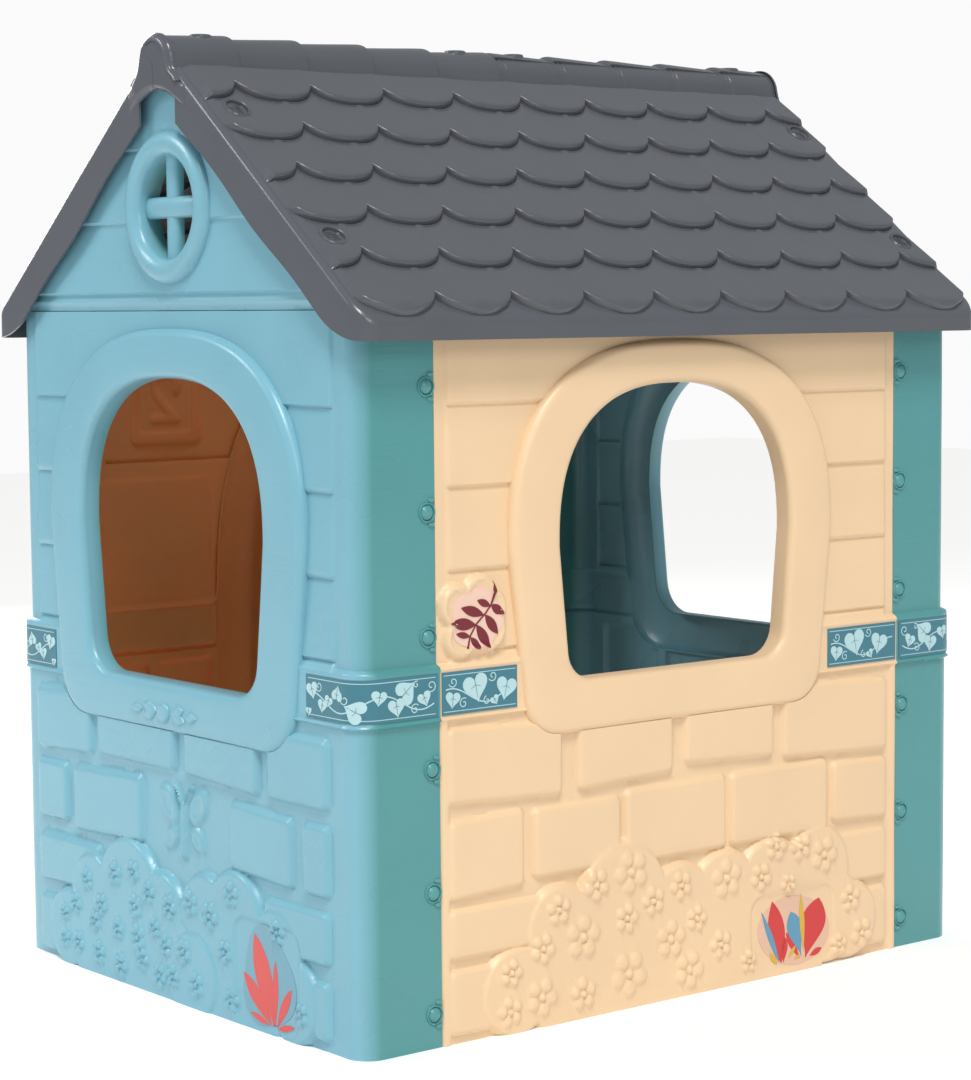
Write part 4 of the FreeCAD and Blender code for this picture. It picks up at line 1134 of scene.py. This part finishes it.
def make_collars(name, turn):
    """Sockets round the plugs of two corners and the small hooks above and below each."""
    parts = []
    for z in PLUG_HEIGHTS:
        for way in (-1, 1):
            u = PLUG_X * way
            parts.append(collar(u, z, (11.4, 10.6, 9.5, 8.8, 8.8), (-1.5, 2.0, 2.2, 1.0, -1.5)))
            for up in (-13, 13):
                near, far = sorted((u - way * 10.2, u - way * 1.5))
                parts.append(pad_of(rounded(near, far, z + up - 2.2, z + up + 2.2, 1.8), 2.4,
                                    0.35))
    return motif(name, parts, flat_wall, lambda _, z: np.where(z > BAND[1], -STEP, 0.0), turn)


def make_screw_cups(name, turn):
    """Raised rims round the four slope screws of one roof half."""
    parts = [collar(x, (ROOF_Y - y) / COS, (17.5, 16.2, 14.6, 13.2, 12.4, 12.4, 14),
                    (-2, 6.4, 8.0, 7.2, 3.0, -2, -2)) for x, y in SLOPE_SCREWS]

    def place(p, q, h):
        y = q * COS - ROOF_Y
        return np.stack((p, y - SIN * h, APEX_Z + RISE * y + COS * h), 1)

    return motif(name, parts, place, zero_height, turn)


def make_ridge_collars():
    """Rims that bring the ridge up to its screws' heads."""
    parts = [collar(way * x, 0, (15.5, 13.4, 12, 10.7, 10.4), (-10, -1.2, -0.2, -1.0, -6))
             for way in (-1, 1) for x in RIDGE_SCREWS]
    return motif("ridge_screw_collars", parts,
                 lambda p, q, h: np.stack((p, q, RIDGE_TOP + h), 1), zero_height)


DOOR_Y = 363.5
HINGE_U, HINGE_Y = -268.0, -357.5
PIN_HEIGHTS = (110, 320)


def make_door_boards():
    """Raised boards, top rail and kick rail on the door's face."""
    parts = []
    for u0, u1, z0, z1 in ((-246, -166, 92, 340), (-160, -80, 92, 340), (-74, 6, 92, 340),
                           (12, 92, 92, 340), (-246, 92, 350, 390), (-246, 92, 46, 82)):
        rings = [rounded(u0 + d, u1 - d, z0 + d, z1 - d, 9) for d in (0, 0.7, 2.2, 4.5, 7)]
        parts.append(layered(rings, (0.0, 1.3, 2.1, 2.5, 2.6), 1.0))
    return motif("door_boards", parts, facing(DOOR_Y), zero_height, FRONT)


def make_lugs():
    """Eyes on the doorway's jamb that carry the hinge pins."""
    middle = np.array((HINGE_U, HINGE_Y))
    outline = [(-278, -352), (-278, -361), (-272, -362.5)]
    for k in range(9):
        angle = math.radians(-110 + 27.5 * k)
        outline.append((HINGE_U + 7.4 * math.cos(angle), HINGE_Y + 7.4 * math.sin(angle)))
    outline.append((-272, -350.5))
    points, faces = [], []
    for z in PIN_HEIGHTS:
        faces += capped(4, len(outline), len(points))
        for edge, inset in ((-6, 0.7), (-5.3, 0), (5.3, 0), (6, 0.7)):
            for point in outline:
                way = np.array(point) - middle
                x, y = middle + way * (1 - inset / np.hypot(*way))
                points.append((x, y, z + edge))
    return mesh_object("hinge_lugs", points, faces, FRONT, sharp=35)


# ---- staging, in metres ---------------------------------------------------------------------
AIM = (0, 0, 0.5)
LAMPS = (   # name, kind, place, size or angle, power, colour
    ("sky", "SUN", (-1.3, -1.7, 3.9), 0.30, 2.1, (1.0, 0.98, 0.95)),
    ("key", "AREA", (-1.2, -3.3, 2.3), 1.2, 24, (1.0, 0.97, 0.93)),
    ("left", "AREA", (-2.7, 1.9, 2.6), 1.0, 34, (0.95, 0.98, 1.0)),
    ("back", "AREA", (0.5, 3.2, 1.9), 1.6, 58, (1.0, 0.97, 0.93)))


def node(tree, kind, values=None, links=None, **settings):
    """Shader node with its settings, the values of its sockets and the links into them."""
    new = tree.nodes.new("ShaderNode" + kind)
    for key, value in settings.items():
        setattr(new, key, value)
    for socket, value in (values or {}).items():
        new.inputs[socket].default_value = value
    for socket, source in (links or {}).items():
        tree.links.new(source, new.inputs[socket])
    return new


def make_camera():
    """Camera from the front left, a little above the band and tipped down."""
    data = bpy.data.cameras.new("camera")
    data.sensor_width, data.lens, data.clip_end = 36.0, 91.56, 50
    camera = placed("camera", data)
    bpy.context.scene.camera = camera
    yaw, pitch, roll = 0.6731, -0.0863, -0.0082
    forward = Vector((math.sin(yaw) * math.cos(pitch), math.cos(yaw) * math.cos(pitch),
                      math.sin(pitch)))
    level = Vector((math.cos(yaw), -math.sin(yaw), 0))
    up = level.cross(forward)
    right = level * math.cos(roll) + up * math.sin(roll)
    above = up * math.cos(roll) - level * math.sin(roll)
    turn = Matrix((right, above, -forward)).transposed().to_4x4()
    camera.matrix_world = Matrix.Translation((-2.1157, -2.6495, 0.7966)) @ turn


def make_surroundings():
    """World that lights the scene softly and looks white to the camera."""
    world = bpy.data.worlds.new("studio")
    bpy.context.scene.world = world
    world.use_nodes = True
    tree = world.node_tree
    ambient = tree.nodes["Background"]
    ambient.inputs["Color"].default_value = (0.95, 0.98, 1, 1)
    ambient.inputs["Strength"].default_value = 0.36
    seen = node(tree, "Background", {"Color": (1, 1, 1, 1), "Strength": 0.96})
    rays = node(tree, "LightPath").outputs["Is Camera Ray"]
    either = node(tree, "MixShader", links={"Fac": rays, 1: ambient.outputs["Background"],
                                            2: seen.outputs["Background"]})
    tree.links.new(either.outputs["Shader"], tree.nodes["World Output"].inputs["Surface"])


def make_lamps():
    for name, kind, where, size, power, colour in LAMPS:
        lamp = bpy.data.lights.new(name, kind)
        lamp.energy, lamp.color = power, colour
        setattr(lamp, "angle" if kind == "SUN" else "size", size)
        obj = placed(name, lamp)
        obj.location = where
        obj.rotation_mode = "QUATERNION"
        obj.rotation_quaternion = (Vector(AIM) - Vector(where)).to_track_quat("-Z", "Y")


def make_floor():
    floor = mesh_object("floor", [(-9000, -9000, 0), (9000, -9000, 0), (9000, 9000, 0),
                                  (-9000, 9000, 0)], [(0, 1, 2, 3)])
    paper = plain("floor_paper", (0.93, 0.93, 0.93), 0.9)
    glow = paper.node_tree.nodes["Principled BSDF"].inputs
    glow["Emission Color"].default_value = (1, 1, 1, 1)
    glow["Emission Strength"].default_value = 0.09
    paint(floor, paper)


def look():
    """Camera, soft lights, pale floor and white surroundings."""
    bpy.context.scene.view_settings.view_transform = "Standard"
    make_camera()
    make_surroundings()
    make_lamps()
    make_floor()


# ---- materials -----------------------------------------------------------------------------
def plain(name, colour, roughness):
    material = bpy.data.materials.new(name)
    material.use_nodes = True
    shader = material.node_tree.nodes["Principled BSDF"]
    shader.inputs["Base Color"].default_value = (*colour, 1)
    shader.inputs["Roughness"].default_value = roughness
    return material


def paint(obj, material):
    obj.data.materials.clear()
    obj.data.materials.append(material)


def plastic(name, colour, roughness=0.42, grain=0.0, shaded_side_colour=None, glow=0.0):
    """Moulded plastic: cloudy colour, fine pebble, and a faint wood grain where asked for.
    The last colour, when given, is painted shade: a darker, greener colour painted on the parts that
    turn round the house's corners, where that moulding lies in shade."""
    material = plain(name, colour, roughness)
    tree = material.node_tree
    shader = tree.nodes["Principled BSDF"]
    place = node(tree, "TexCoord").outputs["Object"]
    cloud = node(tree, "TexNoise", {"Scale": 9.0, "Detail": 2.0}, {"Vector": place}).outputs["Fac"]
    shade = node(tree, "MapRange", {"From Min": 0.15, "From Max": 0.85, "To Min": 0.955,
                                    "To Max": 1.03}, {"Value": cloud})
    tint = node(tree, "Mix", {"Factor": 1.0, "A": (*colour, 1)}, {"B": shade.outputs["Result"]},
                data_type="RGBA", blend_type="MULTIPLY")
    if shaded_side_colour:
        # painted shade: the corner faces get the darker, shaded colour
        tree.links.new(painted_side_shade(tree, place, colour, shaded_side_colour), tint.inputs["A"])
    rough = node(tree, "MapRange", {"To Min": roughness - 0.06, "To Max": roughness + 0.08},
                 {"Value": cloud})
    pebble = node(tree, "TexNoise", {"Scale": 620.0, "Detail": 2.0}, {"Vector": place})
    bump = node(tree, "Bump", {"Strength": 0.10, "Distance": 0.0006},
                {"Height": pebble.outputs["Fac"]})
    if grain:
        bump = wood_grain(tree, place, grain, bump)
    tree.links.new(tint.outputs["Result"], shader.inputs["Base Color"])
    tree.links.new(rough.outputs["Result"], shader.inputs["Roughness"])
    tree.links.new(bump.outputs["Normal"], shader.inputs["Normal"])
    if glow:
        shader.inputs["Subsurface Weight"].default_value = glow
        shader.inputs["Subsurface Radius"].default_value = (0.030, 0.012, 0.004)
    return material


def wood_grain(tree, place, strength, below):
    """Bump of long fibres that run up the walls, over the bump below."""
    stretch = node(tree, "Mapping", {"Scale": (0.09, 0.09, 1.0)}, {"Vector": place})
    wood = node(tree, "TexNoise", {"Scale": 190.0, "Detail": 6.0, "Distortion": 0.8},
                {"Vector": stretch.outputs["Vector"]})
    return node(tree, "Bump", {"Strength": strength, "Distance": 0.002},
                {"Height": wood.outputs["Fac"], "Normal": below.outputs["Normal"]})


def painted_side_shade(tree, place, colour, shaded_side_colour):
    """Painted shade: the colour changes to the shaded one beyond the gable face, along the piece's own
    Y.
    """
    split = node(tree, "SeparateXYZ", links={"Vector": place})
    fade = node(tree, "MapRange", {"From Min": -0.4530, "From Max": -0.4330},
                {"Value": split.outputs["Y"]})
    mix = node(tree, "Mix", {"A": (*colour, 1), "B": (*shaded_side_colour, 1)},
               {"Factor": fade.outputs["Result"]}, data_type="RGBA")
    return mix.outputs["Result"]


# ---- assembly ------------------------------------------------------------------------------
PRINTS = ("vine", "plant", "petal", "plaque", "panel", "number")


def inks():
    """Finishes of the prints."""
    return {name: plastic(name + "_ink", colour, 0.36) for name, colour in (
        ("plate", (0.045, 0.185, 0.245)), ("leaves", (0.44, 0.66, 0.70)),
        ("veins", (0.11, 0.22, 0.27)), ("ground", (0.16, 0.36, 0.46)),
        ("fan", (0.68, 0.075, 0.065)), ("pink", (0.72, 0.47, 0.34)), ("red", (0.60, 0.035, 0.035)),
        ("blue", (0.10, 0.30, 0.46)), ("yellow", (0.66, 0.40, 0.04)),
        ("plaque", (0.82, 0.56, 0.45)), ("maroon", (0.17, 0.012, 0.022)),
        ("sand", (0.80, 0.42, 0.16)))}


def make_roof():
    """Pieces of the window-side half and of the door-side half."""
    slope, capping, flange = make_slope(), make_ridge(), make_flange()
    near_end = ridge_end_plate()
    window_side = [slope, copy_of(capping, "window_side_ridge_capping", 180), flange, near_end,
                   make_screw_cups("window_side_screw_cups", 0)]
    door_side = [copy_of(slope, "door_side_slope", 180), capping,
                 copy_of(flange, "door_side_ridge_flange", 180), far_twin(near_end),
                 make_screw_cups("door_side_screw_cups", 180), make_ridge_collars()]
    return window_side, door_side


def attach(group, material, slot, body="house"):
    for obj in group:
        paint(obj, material)
        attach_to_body(obj, body)


def attach_prints():
    """Paint the prints, and let each label's first layer stand for its CAD film."""
    ink = inks()
    replaced = set()
    for obj, material, label in (make_vines(ink) + make_plants(ink) + make_petals(ink)
                                 + make_sprigs(ink)):
        kind = [k for k in PRINTS if k in label][0]
        attach([obj], material, kind + "_print")
        if label not in replaced:
            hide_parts(label)
            replaced.add(label)


def paint_nodes(ending, material):
    """Give the CAD nodes that stay in sight their own finish."""
    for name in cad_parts:
        if name.endswith(ending):
            paint(bpy.data.objects[name], material)


def main():
    look()
    # the last colour is painted shade for the corner faces of this same light blue moulding
    blue = plastic("light_blue_moulding", (0.19, 0.43, 0.53), 0.28, 0.12, (0.080, 0.29, 0.30))
    cream = plastic("cream_moulding", (0.80, 0.58, 0.36), 0.38, 0.08)
    orange = plastic("orange_moulding", (0.92, 0.34, 0.10), 0.40, 0.06, glow=0.6)
    slate = plastic("slate_moulding", (0.092, 0.099, 0.115), 0.24)
    # painted shade: the same darker teal as the light blue moulding's shaded corner faces, given to
    # the collars and plugs that sit on those corners
    painted_shade_teal = plastic("painted_shade_teal_moulding", (0.085, 0.30, 0.31), 0.33)
    walls = make_walls()
    tops = make_gable_top()
    window_roof, door_roof = make_roof()
    near_ornament, far_ornament = make_ornaments()
    for group, material, slot, label in (
            (walls["near_gable"] + [near_ornament], blue, "light_blue_plastic", "near_gable_wall"),
            (walls["far_gable"] + [far_ornament], blue, "light_blue_plastic", "far_gable_wall"),
            (walls["window_wall"], cream, "cream_plastic", "window_wall"),
            (walls["front_wall"] + [make_lugs()], orange, "orange_plastic", "front_wall"),
            (tops, blue, "light_blue_plastic", "near_gable_top"),
            ([far_twin(o) for o in tops], blue, "light_blue_plastic", "far_gable_top"),
            (window_roof, slate, "slate_plastic", "window_side_roof"),
            (door_roof, slate, "slate_plastic", "door_side_roof")):
        attach(group, material, slot)
        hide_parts(label)
    attach_prints()
    attach([make_collars("window_side_collars", 0), make_collars("door_side_collars", FRONT)],
           painted_shade_teal, "teal_plastic")
    attach([make_door_boards()], cream, "door_plastic", "door")
    paint_nodes("plugs", painted_shade_teal)
    paint_nodes("door_leaf", cream)
    paint_nodes("screws", plastic("screw_grey", (0.06, 0.065, 0.08), 0.28))
    paint_nodes("hinge_pin", plastic("pin_steel_finish", (0.45, 0.45, 0.46), 0.3))


main()
bpy.context.view_layer.update()
